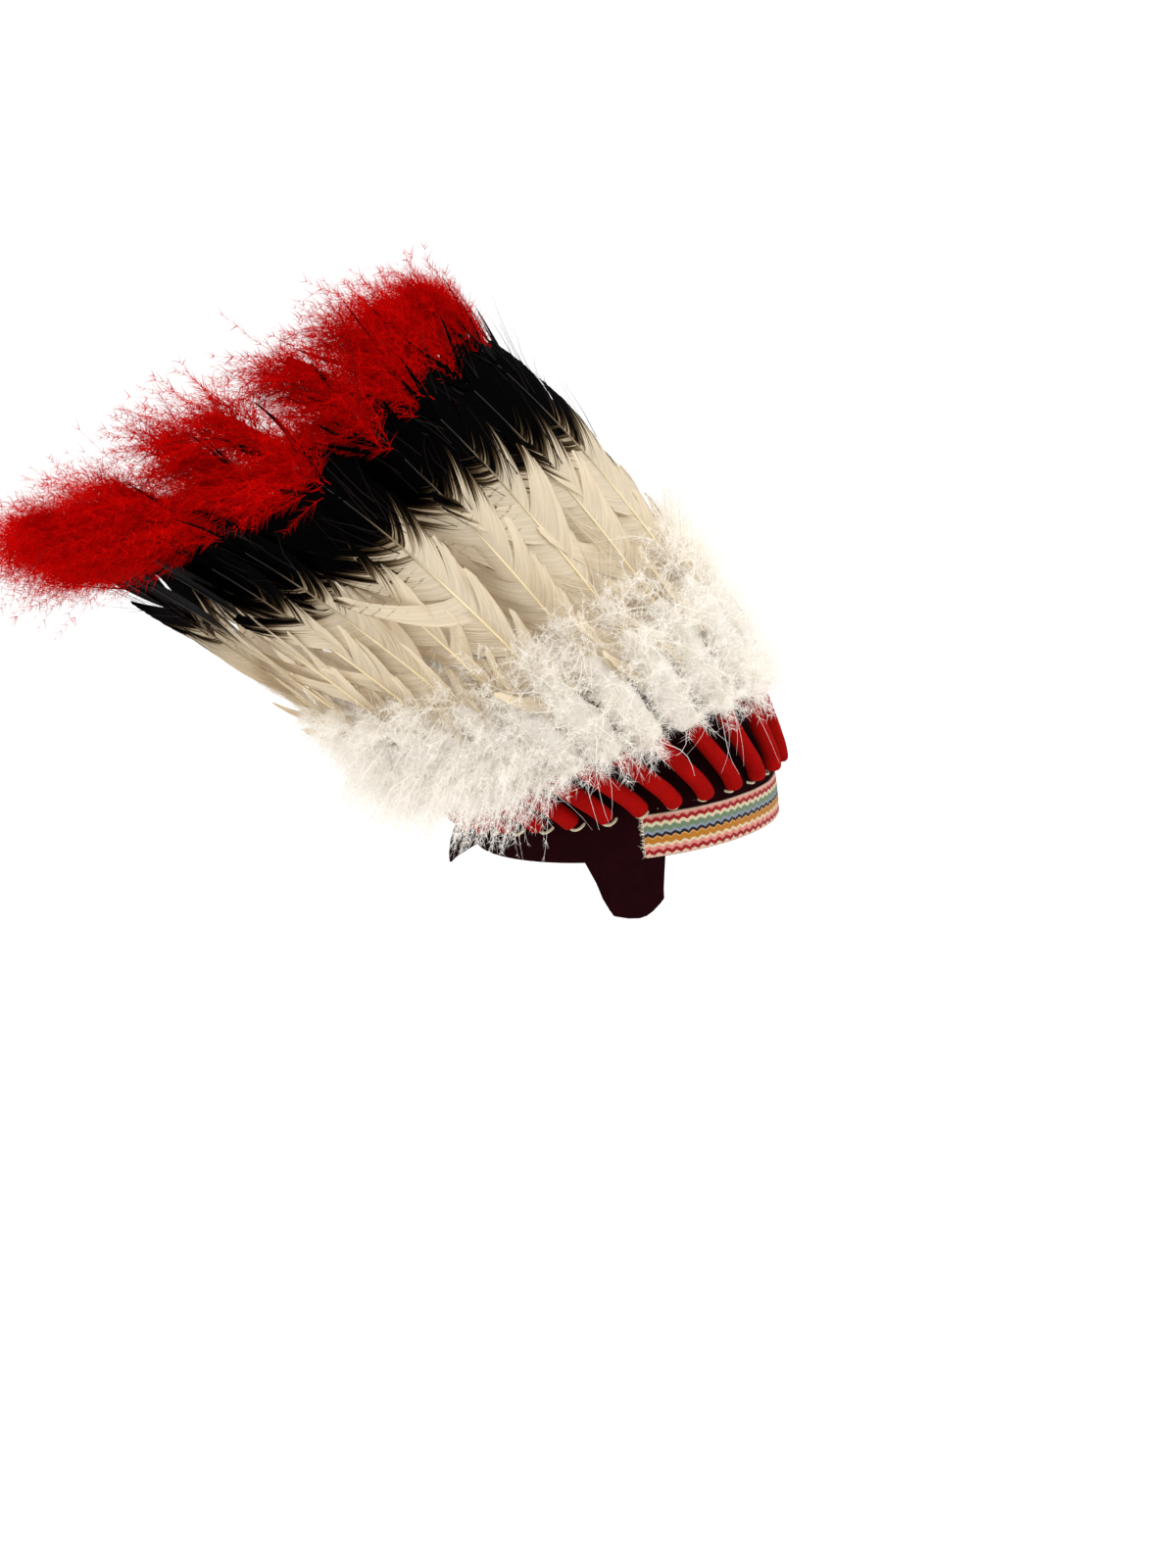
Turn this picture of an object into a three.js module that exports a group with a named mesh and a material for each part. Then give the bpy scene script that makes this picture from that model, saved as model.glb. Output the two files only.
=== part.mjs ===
// Feathered headdress: a felt skull cap with ear flaps, a woven trim, and a row of
// long feathers that stand in red felt rolls laced round the cap.
//
// Millimetres, +Z up. The wearer looks along -Y and the wearer's right is -X. The
// origin is the centre of the head opening, in the plane of the cap's lower edge.

import * as THREE from 'three';

// ---------------------------------------------------------------- driving dimensions

const GAP = 0.3; // clearance between pieces that touch

const CAP_HALF_WIDTH = 80; // outside of the felt at the lower edge
const CAP_HALF_LENGTH = 100;
const FELT = 2; // thickness of the cap's felt
const CROWN_HEIGHT = 95;
const CAP_COLUMN_SPACING = 12.4; // along the lower edge
const CAP_COLUMN_CLEAR = 5; // from a regular column to a corner's column

const TRIM_BOTTOM = 0.5;
const TRIM_HEIGHT = 26.5;
const TRIM_THICKNESS = 1;
const TRIM_END = 139; // arc from the brow to each raw end of the trim

const FEATHERS_PER_SIDE = 13; // beside the one at the middle of the brow
const FEATHER_SPACING = 19.9; // along the cap, from quill to quill

const WRAP_LENGTH = 50;
const WRAP_RADIUS = 5.4;
const WRAP_BEND = 16; // the lowest stretch of a wrap stands steeper than the rest
const WRAP_ROUNDING = 3; // height of the rounding at its lower end
const WRAP_FOOT = 0.62; // the roll's radius at its foot, as a share
const WRAP_TOP = 0.93; // and at its top
const WRAP_SIDES = 7;
const WRAP_STAND_OFF = 0.6; // more than the gap, because the felt is faceted
const BORE_RADIUS = 2;
const BORE_DEPTH = 18;
const QUILL_DEPTH = BORE_DEPTH - 2; // the quill stops short of the bore's end
const QUILL_SHOWING = 1.5; // bare quill between the wrap and the down
const ROOT_LENGTH = 30; // the stretch above the wrap in which the quill straightens
const MID_SHARE = 0.6; // where the slope named mid is reached

const LACE_RADIUS = 0.9;
const LACE_END = 264; // arc from the brow to each end of the lace
const LACE_STEPS = 44;
const LACE_SIDES = 6;
const LACE_DROP = 1.6; // the lace's middle below the wraps' lower ends
const KNOT_RADIUS = 2.2;
const KNOT_LENGTH = 3.3; // beyond the lace's last step

// The cap's outline: its size as a share of the size at the lower edge.
const CROWN = [
  { z: 0, scale: 1 },
  { z: 5, scale: 1 },
  { z: 31, scale: 0.985 },
  { z: 50, scale: 0.935 },
  { z: 66, scale: 0.84 },
  { z: 80, scale: 0.67 },
  { z: 90, scale: 0.42 },
];

// The ear flap's outline, along the lower edge from the flap's middle.
const EAR_FLAP = [
  { along: -22, z: 0 },
  { along: -21.5, z: -27.5 },
  { along: -14, z: -35 },
  { along: -5, z: -38.8 },
  { along: 10.6, z: -36 },
  { along: 16.6, z: -24 },
  { along: 19.5, z: -13.6 },
  { along: 25, z: 0 },
];
const FLAP_SET_BACK = 9; // the flap's middle, behind the widest place of the rim
const FLAP_TUCK = 0.08; // how far a flap leans in, for each mm that it hangs

// The nape tab's outline, along the lower edge from the middle of the back.
const NAPE_TAB = [
  { along: -11, z: 0, flare: 0 },
  { along: -5, z: -9, flare: 0.75 },
  { along: 0, z: -14, flare: 1 },
];
const TAB_FLARE = 19; // how far the tab's tip stands off the head
const TAB_TOP = 31; // the tab starts to stand off below this height

// How the feathers stand, by their place from the brow (0) to the last at the back (1).
// base: height of the wrap's lower end. foot, wrap, root, mid and tip: slope of each
// stretch above the rearward horizontal, in degrees. out: how far it leans outwards.
// length: from the wrap's lower end to the end of the plume. down: reach of the down.
const STANCE = [
  { place: 0, base: 35, foot: 86, wrap: 72, root: 62, mid: 50, tip: 36, out: 0.04, length: 365, down: 52 },
  { place: 0.15, base: 35, foot: 84, wrap: 66, root: 61, mid: 50, tip: 37, out: 0.1, length: 362, down: 48 },
  { place: 0.3, base: 34, foot: 74, wrap: 52, root: 57, mid: 51, tip: 40, out: 0.16, length: 352, down: 40 },
  { place: 0.5, base: 31, foot: 58, wrap: 41, root: 53, mid: 50, tip: 37, out: 0.2, length: 342, down: 34 },
  { place: 0.8, base: 23, foot: 56, wrap: 43, root: 53, mid: 49, tip: 34, out: 0.2, length: 334, down: 25 },
  { place: 1, base: 16, foot: 62, wrap: 48, root: 54, mid: 50, tip: 33, out: 0.18, length: 330, down: 18 },
];

// The shingle: each vane is turned about its quill so that its front edge stands out.
const SHINGLE_DEG = 17;

// Locks of down up the quill: where each tip starts, in mm above the wrap, how steeply
// it points along the feather, in degrees, and its share of the down's reach.
const DOWN_LOCKS = [
  { at: 8, rise: -4, share: 0.5 },
  { at: 22, rise: 20, share: 0.9 },
  { at: 39, rise: 42, share: 1.1 },
  { at: 60, rise: 60, share: 1.25 },
];
const DOWN_WIDTH = 0.9; // as a share of the room between one quill and the next
const DOWN_REAR = 1.5; // how much wider it is behind the quill, under the next feather
const DOWN_CORE = 2; // half depth of the down between its locks
const DOWN_END = 12; // from the last lock to the bare vane
const DOWN_INSIDE = 0.16; // reach towards the head, as a share of the reach outwards

// Sections up the vane, at a share of the free length between the wrap and the plume's
// end: half widths to the front and rear of the quill, depths inwards and outwards, and
// how far the edges sweep up in mm. The last rows are the locks of the red plume.
const VANE = [
  { at: 0.27, front: 6, rear: 8, inner: 1.3, outer: 1.3, sweep: 0 },
  { at: 0.4, front: 10, rear: 19, inner: 1.1, outer: 1.1, sweep: 0 },
  { at: 0.56, front: 14, rear: 28, inner: 1, outer: 1, sweep: 0 },
  { at: 0.72, front: 16, rear: 32, inner: 0.9, outer: 0.9, sweep: 0 },
  { at: 0.8, front: 14, rear: 26, inner: 0.8, outer: 4, sweep: 0 },
  { at: 0.84, front: 9, rear: 14, inner: 1, outer: 9, sweep: 0 },
  { at: 0.86, front: 18, rear: 22, inner: 1.5, outer: 10, sweep: 8 },
  { at: 0.89, front: 9, rear: 10, inner: 1.5, outer: 7, sweep: 0 },
  { at: 0.92, front: 15, rear: 18, inner: 1.5, outer: 9, sweep: 8 },
  { at: 0.95, front: 7, rear: 7, inner: 1.2, outer: 5, sweep: 0 },
  { at: 1, front: 3, rear: 3, inner: 0.8, outer: 1, sweep: 0 },
];
const QUILL_RADIUS = 1.3;
const EDGE = 0.35; // half thickness of an edge, as a share of the inner depth
const CAMBER_RADIUS = 80; // the vane curls round the head

const COLOURS = {
  maroonFelt: 0x21030a,
  redFelt: 0xa8100c,
  trim: 0xd9b896,
  lace: 0xe9e4d8,
  feather: 0xdcd3c4,
};

// ---------------------------------------------------------------- small helpers

const degrees = THREE.MathUtils.degToRad;

// Reads one named column of a table at a place between its rows.
function tableValue(table, key, value, column) {
  const next = table.findIndex((row) => row[key] >= value);
  if (next === 0) return table[0][column];
  if (next < 0) return table[table.length - 1][column];
  const low = table[next - 1];
  const high = table[next];
  const share = (value - low[key]) / (high[key] - low[key]);
  return THREE.MathUtils.lerp(low[column], high[column], share);
}

// Makes one closed body from rings of points, each ring with as many points.
function loft(rings) {
  const count = rings[0].length;
  const points = rings.flat();
  const faces = [];
  for (let ring = 0; ring < rings.length - 1; ring += 1) {
    for (let side = 0; side < count; side += 1) {
      const a = ring * count + side;
      const b = ring * count + ((side + 1) % count);
      faces.push(a, b, b + count, a, b + count, a + count);
    }
  }
  const last = (rings.length - 1) * count;
  for (let side = 1; side < count - 1; side += 1) {
    faces.push(0, side + 1, side, last, last + side, last + side + 1);
  }
  return bodyFrom(points, faces);
}

// Makes a geometry from points and faces, with the faces turned outwards.
function bodyFrom(points, faces) {
  const [a, b, c] = [new THREE.Vector3(), new THREE.Vector3(), new THREE.Vector3()];
  let volume = 0;
  for (let face = 0; face < faces.length; face += 3) {
    a.copy(points[faces[face]]);
    b.copy(points[faces[face + 1]]);
    c.copy(points[faces[face + 2]]);
    volume += a.dot(b.cross(c));
  }
  const outward = volume < 0 ? faces.toReversed() : faces;
  const geometry = new THREE.BufferGeometry().setFromPoints(points);
  geometry.setIndex(outward);
  return geometry;
}

function addPiece(group, name, geometry, colour, roughness) {
  const material = new THREE.MeshStandardMaterial({ color: colour, roughness, metalness: 0 });
  const piece = new THREE.Mesh(geometry, material);
  piece.name = name;
  group.add(piece);
}

// ---------------------------------------------------------------- the rim's ellipse

const RIM_STEPS = 2000;
const RIM_ARCS = [0];
for (let step = 1; step <= RIM_STEPS; step += 1) {
  const turn = (Math.PI * (step - 0.5)) / RIM_STEPS;
  const speed = Math.hypot(CAP_HALF_WIDTH * Math.cos(turn), CAP_HALF_LENGTH * Math.sin(turn));
  RIM_ARCS.push(RIM_ARCS[step - 1] + (speed * Math.PI) / RIM_STEPS);
}
const HALF_RIM = RIM_ARCS[RIM_STEPS];
const FLAP_MIDDLE = HALF_RIM / 2 + FLAP_SET_BACK;

// The ellipse's angle at an arc length from the brow; positive is the wearer's left.
function rimTurn(arc) {
  const step = RIM_ARCS.findIndex((length) => length >= Math.abs(arc) - 1e-9);
  if (step <= 0) return 0;
  const share = (Math.abs(arc) - RIM_ARCS[step - 1]) / (RIM_ARCS[step] - RIM_ARCS[step - 1]);
  return (Math.sign(arc) * Math.PI * (step - 1 + share)) / RIM_STEPS;
}

// Point on the cap's outside at an arc length from the brow and a height.
function capPoint(arc, z) {
  const turn = rimTurn(arc);
  const scale = tableValue(CROWN, 'z', z, 'scale');
  const x = CAP_HALF_WIDTH * scale * Math.sin(turn);
  return new THREE.Vector3(x, -CAP_HALF_LENGTH * scale * Math.cos(turn), z);
}

function rimNormal(arc) {
  const turn = rimTurn(arc);
  const x = Math.sin(turn) / CAP_HALF_WIDTH;
  return new THREE.Vector3(x, -Math.cos(turn) / CAP_HALF_LENGTH, 0).normalize();
}

// Direction along the rim, from the brow to the back on both sides.
function rimRearward(arc) {
  const normal = rimNormal(arc);
  const side = arc < 0 ? -1 : 1;
  return new THREE.Vector3(-normal.y * side, normal.x * side, 0);
}

// ---------------------------------------------------------------- felt cap

// Arc lengths of the cap's upright columns: a regular spacing, with the corners of the
// ear flaps and the nape tab put in.
function capColumns() {
  const corners = EAR_FLAP.map((row) => FLAP_MIDDLE + row.along);
  const tab = NAPE_TAB.map((row) => HALF_RIM + row.along);
  const special = [...corners, ...tab, TRIM_END];
  const half = [];
  const count = Math.round(HALF_RIM / CAP_COLUMN_SPACING);
  for (let column = 0; column < count; column += 1) {
    const arc = (HALF_RIM * column) / count;
    if (special.every((other) => Math.abs(other - arc) > CAP_COLUMN_CLEAR)) half.push(arc);
  }
  half.push(...special);
  half.sort((first, second) => first - second);
  const mirrored = half.filter((arc) => arc > 0 && arc < HALF_RIM).map((arc) => -arc);
  return [...mirrored.toReversed(), ...half];
}

function lowerEdge(arc) {
  const fromSide = Math.abs(arc) - FLAP_MIDDLE;
  const fromBack = Math.abs(arc) - HALF_RIM;
  if (fromBack > NAPE_TAB[0].along) return tableValue(NAPE_TAB, 'along', fromBack, 'z');
  return tableValue(EAR_FLAP, 'along', fromSide, 'z');
}

// How far the felt stands off the cap's plain outline: out at the tab, in at a flap.
function standOff(arc, z) {
  const fromBack = Math.abs(arc) - HALF_RIM;
  if (fromBack < NAPE_TAB[0].along) return Math.min(z, 0) * FLAP_TUCK;
  const flare = tableValue(NAPE_TAB, 'along', fromBack, 'flare');
  const drop = THREE.MathUtils.clamp((TAB_TOP - z) / (TAB_TOP - NAPE_TAB[2].z), 0, 1);
  return TAB_FLARE * flare * Math.sin((drop * Math.PI) / 2);
}

function feltCap() {
  const columns = capColumns();
  const heights = CROWN.slice(1).map((row) => row.z);
  const rows = heights.length + 1;
  const points = [];
  const surface = (arc, z) => {
    const point = capPoint(arc, z);
    return point.addScaledVector(rimNormal(arc), standOff(arc, z));
  };
  for (const inside of [false, true]) {
    for (const arc of columns) {
      for (let row = 0; row < rows; row += 1) {
        const z = row === 0 ? lowerEdge(arc) : heights[row - 1];
        const point = surface(arc, z);
        if (inside) {
          const along = surface(arc + 0.5, z).sub(surface(arc - 0.5, z));
          const up = surface(arc, z + 0.5).sub(surface(arc, z - 0.5));
          point.addScaledVector(along.cross(up).normalize(), -FELT);
        }
        points.push(point);
      }
    }
  }
  const insideStart = columns.length * rows;
  const outerPole = points.push(new THREE.Vector3(0, 0, CROWN_HEIGHT)) - 1;
  const innerPole = points.push(new THREE.Vector3(0, 0, CROWN_HEIGHT - FELT)) - 1;
  const faces = [];
  for (let column = 0; column < columns.length; column += 1) {
    const here = column * rows;
    const next = ((column + 1) % columns.length) * rows;
    for (let row = 0; row < rows - 1; row += 1) {
      const [a, b, c, d] = [here + row, next + row, next + row + 1, here + row + 1];
      faces.push(a, b, c, a, c, d);
      const [e, f, g, h] = [a, b, c, d].map((point) => point + insideStart);
      faces.push(e, g, f, e, h, g);
    }
    const top = rows - 1;
    faces.push(here + top, next + top, outerPole);
    faces.push(next + top + insideStart, here + top + insideStart, innerPole);
    faces.push(here, here + insideStart, next + insideStart, here, next + insideStart, next);
  }
  return bodyFrom(points, faces);
}

// ---------------------------------------------------------------- trim and lace

function trimBand() {
  const arcs = capColumns().filter((arc) => Math.abs(arc) <= TRIM_END + 0.01);
  const inner = GAP;
  const outer = GAP + TRIM_THICKNESS;
  const top = TRIM_BOTTOM + TRIM_HEIGHT;
  return loft(arcs.map((arc) => [
    [inner, TRIM_BOTTOM], [outer, TRIM_BOTTOM], [outer, top], [inner, top],
  ].map(([off, z]) => capPoint(arc, z).addScaledVector(rimNormal(arc), off))));
}

function featherPlace(arc) {
  return Math.abs(arc) / (FEATHER_SPACING * FEATHERS_PER_SIDE);
}

// A round tube with a knot at each end, laid on the felt under the wraps.
function lacingCord() {
  const rings = [];
  for (let step = -1; step <= LACE_STEPS + 1; step += 1) {
    const share = THREE.MathUtils.clamp(step / LACE_STEPS, 0, 1);
    const beyond = step - share * LACE_STEPS;
    const arc = LACE_END * (2 * share - 1) + beyond * KNOT_LENGTH;
    const fromEnd = Math.min(step, LACE_STEPS - step);
    const knotRadius = fromEnd < 0 ? KNOT_RADIUS / 2 : KNOT_RADIUS;
    const radius = fromEnd < 1 ? knotRadius : LACE_RADIUS;
    const rest = fromEnd < 1 ? KNOT_RADIUS : LACE_RADIUS;
    const z = tableValue(STANCE, 'place', featherPlace(arc), 'base') - LACE_DROP;
    const normal = rimNormal(arc);
    const centre = capPoint(arc, z).addScaledVector(normal, rest + 2 * GAP);
    const ring = [];
    for (let side = 0; side < LACE_SIDES; side += 1) {
      const turn = (2 * Math.PI * side) / LACE_SIDES;
      const point = centre.clone().addScaledVector(normal, radius * Math.cos(turn));
      point.z += radius * Math.sin(turn);
      ring.push(point);
    }
    rings.push(ring);
  }
  return loft(rings);
}

// ---------------------------------------------------------------- one feather's line

// The line that a wrap and its feather follow, with a frame at each point: along it,
// across it to the rear, and out from the head.
const LINE_STEP = 2;

function featherLine(arc) {
  const place = featherPlace(arc);
  const stance = (column) => tableValue(STANCE, 'place', place, column);
  const length = stance('length');
  const slopes = [
    { at: 0, slope: stance('foot') },
    { at: WRAP_BEND, slope: stance('wrap') },
    { at: WRAP_LENGTH, slope: stance('wrap') },
    { at: WRAP_LENGTH + ROOT_LENGTH, slope: stance('root') },
    { at: length * MID_SHARE, slope: stance('mid') },
    { at: length, slope: stance('tip') },
  ];
  const normal = rimNormal(arc);
  const rearward = rimRearward(arc);
  const shingle = arc === 0 ? 0 : degrees(SHINGLE_DEG);
  const point = capPoint(arc, stance('base'));
  point.addScaledVector(normal, WRAP_RADIUS + GAP + WRAP_STAND_OFF);
  const frames = [];
  for (let at = 0; at <= length + LINE_STEP; at += LINE_STEP) {
    const slope = degrees(tableValue(slopes, 'at', at, 'slope'));
    const along = new THREE.Vector3(0, Math.cos(slope), Math.sin(slope));
    along.addScaledVector(normal, stance('out')).normalize();
    const across = rearward.clone().addScaledVector(along, -rearward.dot(along)).normalize();
    const out = new THREE.Vector3().crossVectors(along, across).normalize();
    if (out.dot(normal) < 0) out.negate();
    const turned = across.clone().applyAxisAngle(out.clone().cross(across), shingle);
    out.addScaledVector(turned, -out.dot(turned)).normalize();
    frames.push({ at, point: point.clone(), along, across: turned, out });
    point.addScaledVector(along, LINE_STEP);
  }
  const lean = Math.abs(rearward.y) * Math.cos(degrees(stance('root')));
  const room = FEATHER_SPACING * Math.sqrt(1 - lean * lean);
  return { frames, place, length, room, down: stance('down') };
}

// The frame at a distance along the line, to the nearest step below it.
function frameAt(line, at) {
  const index = Math.min(Math.floor(at / LINE_STEP), line.frames.length - 1);
  const frame = line.frames[index];
  const point = frame.point.clone().addScaledVector(frame.along, at - frame.at);
  return { ...frame, point };
}

// A point given in a frame: along the feather, to its rear, and outwards.
function placeIn(frame, along, rear, out) {
  const point = frame.point.clone().addScaledVector(frame.along, along);
  return point.addScaledVector(frame.across, rear).addScaledVector(frame.out, out);
}

// ---------------------------------------------------------------- quill wrap

function quillWrap(line) {
  const outline = [
    { at: 0, radius: WRAP_RADIUS * WRAP_FOOT },
    { at: WRAP_ROUNDING, radius: WRAP_RADIUS },
    { at: WRAP_BEND, radius: WRAP_RADIUS },
    { at: WRAP_LENGTH, radius: WRAP_RADIUS * WRAP_TOP },
    { at: WRAP_LENGTH, radius: BORE_RADIUS },
    { at: WRAP_LENGTH - BORE_DEPTH, radius: BORE_RADIUS },
  ];
  return loft(outline.map(({ at, radius }) => {
    const frame = frameAt(line, at);
    const ring = [];
    for (let side = 0; side < WRAP_SIDES; side += 1) {
      const turn = (2 * Math.PI * side) / WRAP_SIDES;
      ring.push(placeIn(frame, 0, radius * Math.cos(turn), radius * Math.sin(turn)));
    }
    return ring;
  }));
}

// ---------------------------------------------------------------- feather

// One section of a feather: a flat hexagon with its edges to the front and rear. lift
// carries its outermost corner up the feather, and sweep its edges.
function section(line, at, { front, rear, inner, outer, sweep = 0, lift = 0 }) {
  const frame = frameAt(line, WRAP_LENGTH + at);
  const curl = (width) => -(width * width) / (2 * CAMBER_RADIUS);
  const edge = inner * EDGE;
  return [
    placeIn(frame, sweep, -front, curl(front) - edge),
    placeIn(frame, 0, 0, -inner),
    placeIn(frame, sweep, rear, curl(rear) - edge),
    placeIn(frame, sweep, rear, curl(rear) + edge),
    placeIn(frame, lift, 0, outer),
    placeIn(frame, sweep, -front, curl(front) + edge),
  ];
}

function quillSections(line) {
  const round = { front: QUILL_RADIUS, rear: QUILL_RADIUS, inner: QUILL_RADIUS, outer: QUILL_RADIUS };
  return [-QUILL_DEPTH, QUILL_SHOWING].map((at) => section(line, at, round));
}

// Each lock of down is a peak between two hollows.
function downSections(line) {
  const width = (line.room * DOWN_WIDTH) / 2;
  const rearShare = line.place === 0 ? 1 : DOWN_REAR;
  const rings = [];
  DOWN_LOCKS.forEach(({ at, rise, share }, index) => {
    const reach = line.down * share;
    const hollow = index + 1 < DOWN_LOCKS.length ? (at + DOWN_LOCKS[index + 1].at) / 2 : at + DOWN_END;
    rings.push(section(line, at, {
      front: width,
      rear: width * rearShare,
      inner: reach * DOWN_INSIDE,
      outer: reach * Math.cos(degrees(rise)),
      lift: reach * Math.sin(degrees(rise)),
    }));
    rings.push(section(line, hollow, {
      front: width, rear: width * rearShare, inner: DOWN_CORE, outer: DOWN_CORE,
    }));
  });
  return rings;
}

function feather(line) {
  const free = line.length - WRAP_LENGTH;
  const evenly = line.place === 0; // the one at the brow has vanes of one width
  const vane = VANE.map((row) => (
    section(line, row.at * free, evenly ? { ...row, rear: row.front } : row)
  ));
  return loft([...quillSections(line), ...downSections(line), ...vane]);
}

// ---------------------------------------------------------------- assembly

const headdress = new THREE.Group();
addPiece(headdress, 'felt_cap', feltCap(), COLOURS.maroonFelt, 0.95);
addPiece(headdress, 'trim_band', trimBand(), COLOURS.trim, 0.85);
addPiece(headdress, 'lacing_cord', lacingCord(), COLOURS.lace, 0.9);

for (let index = -FEATHERS_PER_SIDE; index <= FEATHERS_PER_SIDE; index += 1) {
  const number = String(index + FEATHERS_PER_SIDE + 1).padStart(2, '0');
  const line = featherLine(index * FEATHER_SPACING);
  addPiece(headdress, `quill_wrap_${number}`, quillWrap(line), COLOURS.redFelt, 0.95);
  addPiece(headdress, `feather_${number}`, feather(line), COLOURS.feather, 0.8);
}

export default headdress;
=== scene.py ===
"""Feathered headdress: the looks of a felt skull cap with a ring of long feathers."""
import math

import bpy
import numpy as np
from bpy.props import FloatProperty, FloatVectorProperty, IntProperty, PointerProperty
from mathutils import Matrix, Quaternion, Vector


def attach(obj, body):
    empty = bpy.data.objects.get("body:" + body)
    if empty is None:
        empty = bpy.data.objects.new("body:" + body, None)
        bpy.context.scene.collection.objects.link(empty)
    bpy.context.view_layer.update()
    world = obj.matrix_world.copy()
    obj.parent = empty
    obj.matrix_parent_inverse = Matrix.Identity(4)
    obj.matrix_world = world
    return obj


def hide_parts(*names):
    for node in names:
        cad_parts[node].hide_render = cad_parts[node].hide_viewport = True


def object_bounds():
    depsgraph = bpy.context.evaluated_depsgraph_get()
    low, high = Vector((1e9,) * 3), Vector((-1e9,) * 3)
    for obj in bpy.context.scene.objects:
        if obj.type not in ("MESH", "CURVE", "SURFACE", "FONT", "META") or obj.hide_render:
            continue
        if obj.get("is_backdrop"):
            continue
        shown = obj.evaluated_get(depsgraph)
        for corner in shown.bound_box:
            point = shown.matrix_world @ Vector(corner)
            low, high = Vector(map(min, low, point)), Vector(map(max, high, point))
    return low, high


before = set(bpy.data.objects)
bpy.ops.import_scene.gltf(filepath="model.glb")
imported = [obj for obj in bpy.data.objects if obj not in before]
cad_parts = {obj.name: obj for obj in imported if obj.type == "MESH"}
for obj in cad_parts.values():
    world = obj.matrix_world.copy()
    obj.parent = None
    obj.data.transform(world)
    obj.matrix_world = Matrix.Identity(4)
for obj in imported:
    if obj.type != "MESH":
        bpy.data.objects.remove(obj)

bl_info = {
    "name": "Feathered headdress",
    "version": (1, 0, 0),
    "blender": (4, 5, 0),
    "location": "View3D > Sidebar > Headdress",
    "description": "Dresses a felt cap and its ring of feathers",
    "category": "Object",
}

CAD_BOX = [list(corner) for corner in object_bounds()]
MM = 0.001

# ------------------------------------------------------------------ driving sizes, in mm

CAP_HALF_WIDTH = 80
CAP_HALF_LENGTH = 100
CAP_CROWN_HEIGHT = 95
CAP_PROFILE = {
    "z": [0, 5, 18, 31, 50, 66, 80, 90, 94, 95],
    "scale": [1, 1, 0.995, 0.985, 0.935, 0.84, 0.67, 0.42, 0.2, 0],
}
EAR_FLAP = {
    "along": [-22, -21.5, -19, -14, -10, -5, 2, 10.6, 13, 16.6, 19.5, 25],
    "z": [0, -27.5, -30.5, -35, -37.6, -38.8, -38.2, -36, -32, -24, -13.6, 0],
}
FLAP_SET_BACK = 9
FLAP_TUCK = 0.08
NAPE_TAB = {"along": [-11, -5, 0], "z": [0, -9, -14], "flare": [0, 0.75, 1]}
TAB_FLARE = 19
TAB_TOP = 31

TRIM_END = 139
TRIM_BOTTOM = 0.5
FEATHERS_PER_SIDE = 13
FEATHER_SPACING = 19.9
WRAP_LENGTH = 50
WRAP_BEND = 16
WRAP_STAND_OFF = 6.3
ROOT_LENGTH = 30
MID_SHARE = 0.6
LACE_END = 264
LACE_DROP = 1.6
SHINGLE = math.radians(17)
CAMBER_RADIUS = 80

# How the feathers stand, by their place from the brow (0) to the last at the back (1):
# the slopes are degrees above the rearward horizontal, and the rest is in mm.
STANCE = {
    "place": [0, 0.15, 0.3, 0.5, 0.8, 1],
    "base": [35, 35, 34, 31, 23, 16],
    "foot": [86, 84, 74, 58, 56, 62],
    "wrap": [72, 66, 52, 41, 43, 48],
    "root": [62, 61, 57, 53, 53, 54],
    "mid": [50, 50, 51, 50, 49, 50],
    "tip": [36, 37, 40, 37, 34, 33],
    "out": [0.04, 0.1, 0.16, 0.2, 0.2, 0.18],
    "length": [365, 362, 352, 342, 334, 330],
    "down": [52, 48, 40, 34, 27, 22],
}


def linear(code):
    """An sRGB hex code as linear red, green and blue."""
    parts = [int(code[i : i + 2], 16) / 255 for i in (1, 3, 5)]
    return [c / 12.92 if c <= 0.04045 else ((c + 0.055) / 1.055) ** 2.4 for c in parts]


def colour(name, code, description):
    return FloatVectorProperty(
        name=name,
        description=description,
        subtype="COLOR",
        size=3,
        min=0,
        max=1,
        default=linear(code),
    )


class HEADDRESS_PG_cap(bpy.types.PropertyGroup):
    """Sizes and colours of the cap, its trim and its lace"""

    felt: FloatProperty(
        name="Felt",
        description="Thickness of the cap's felt",
        default=0.002,
        unit="LENGTH",
    )
    trim_height: FloatProperty(
        name="Trim height",
        description="Width of the woven ribbon",
        default=0.0265,
        unit="LENGTH",
    )
    lace_radius: FloatProperty(
        name="Lace radius",
        description="Radius of the cotton lace",
        default=0.0009,
        unit="LENGTH",
    )
    felt_colour: colour("Cap felt", "#1a0306", "Colour of the cap's felt")
    lace_colour: colour("Lace", "#cdc1a2", "Colour of the lace")
    wrap_colour: colour("Wrap felt", "#8c0806", "Colour of the felt rolls")
    wrap_radius: FloatProperty(
        name="Wrap radius",
        description="Radius of a felt roll round a quill",
        default=0.0054,
        unit="LENGTH",
    )


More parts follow.
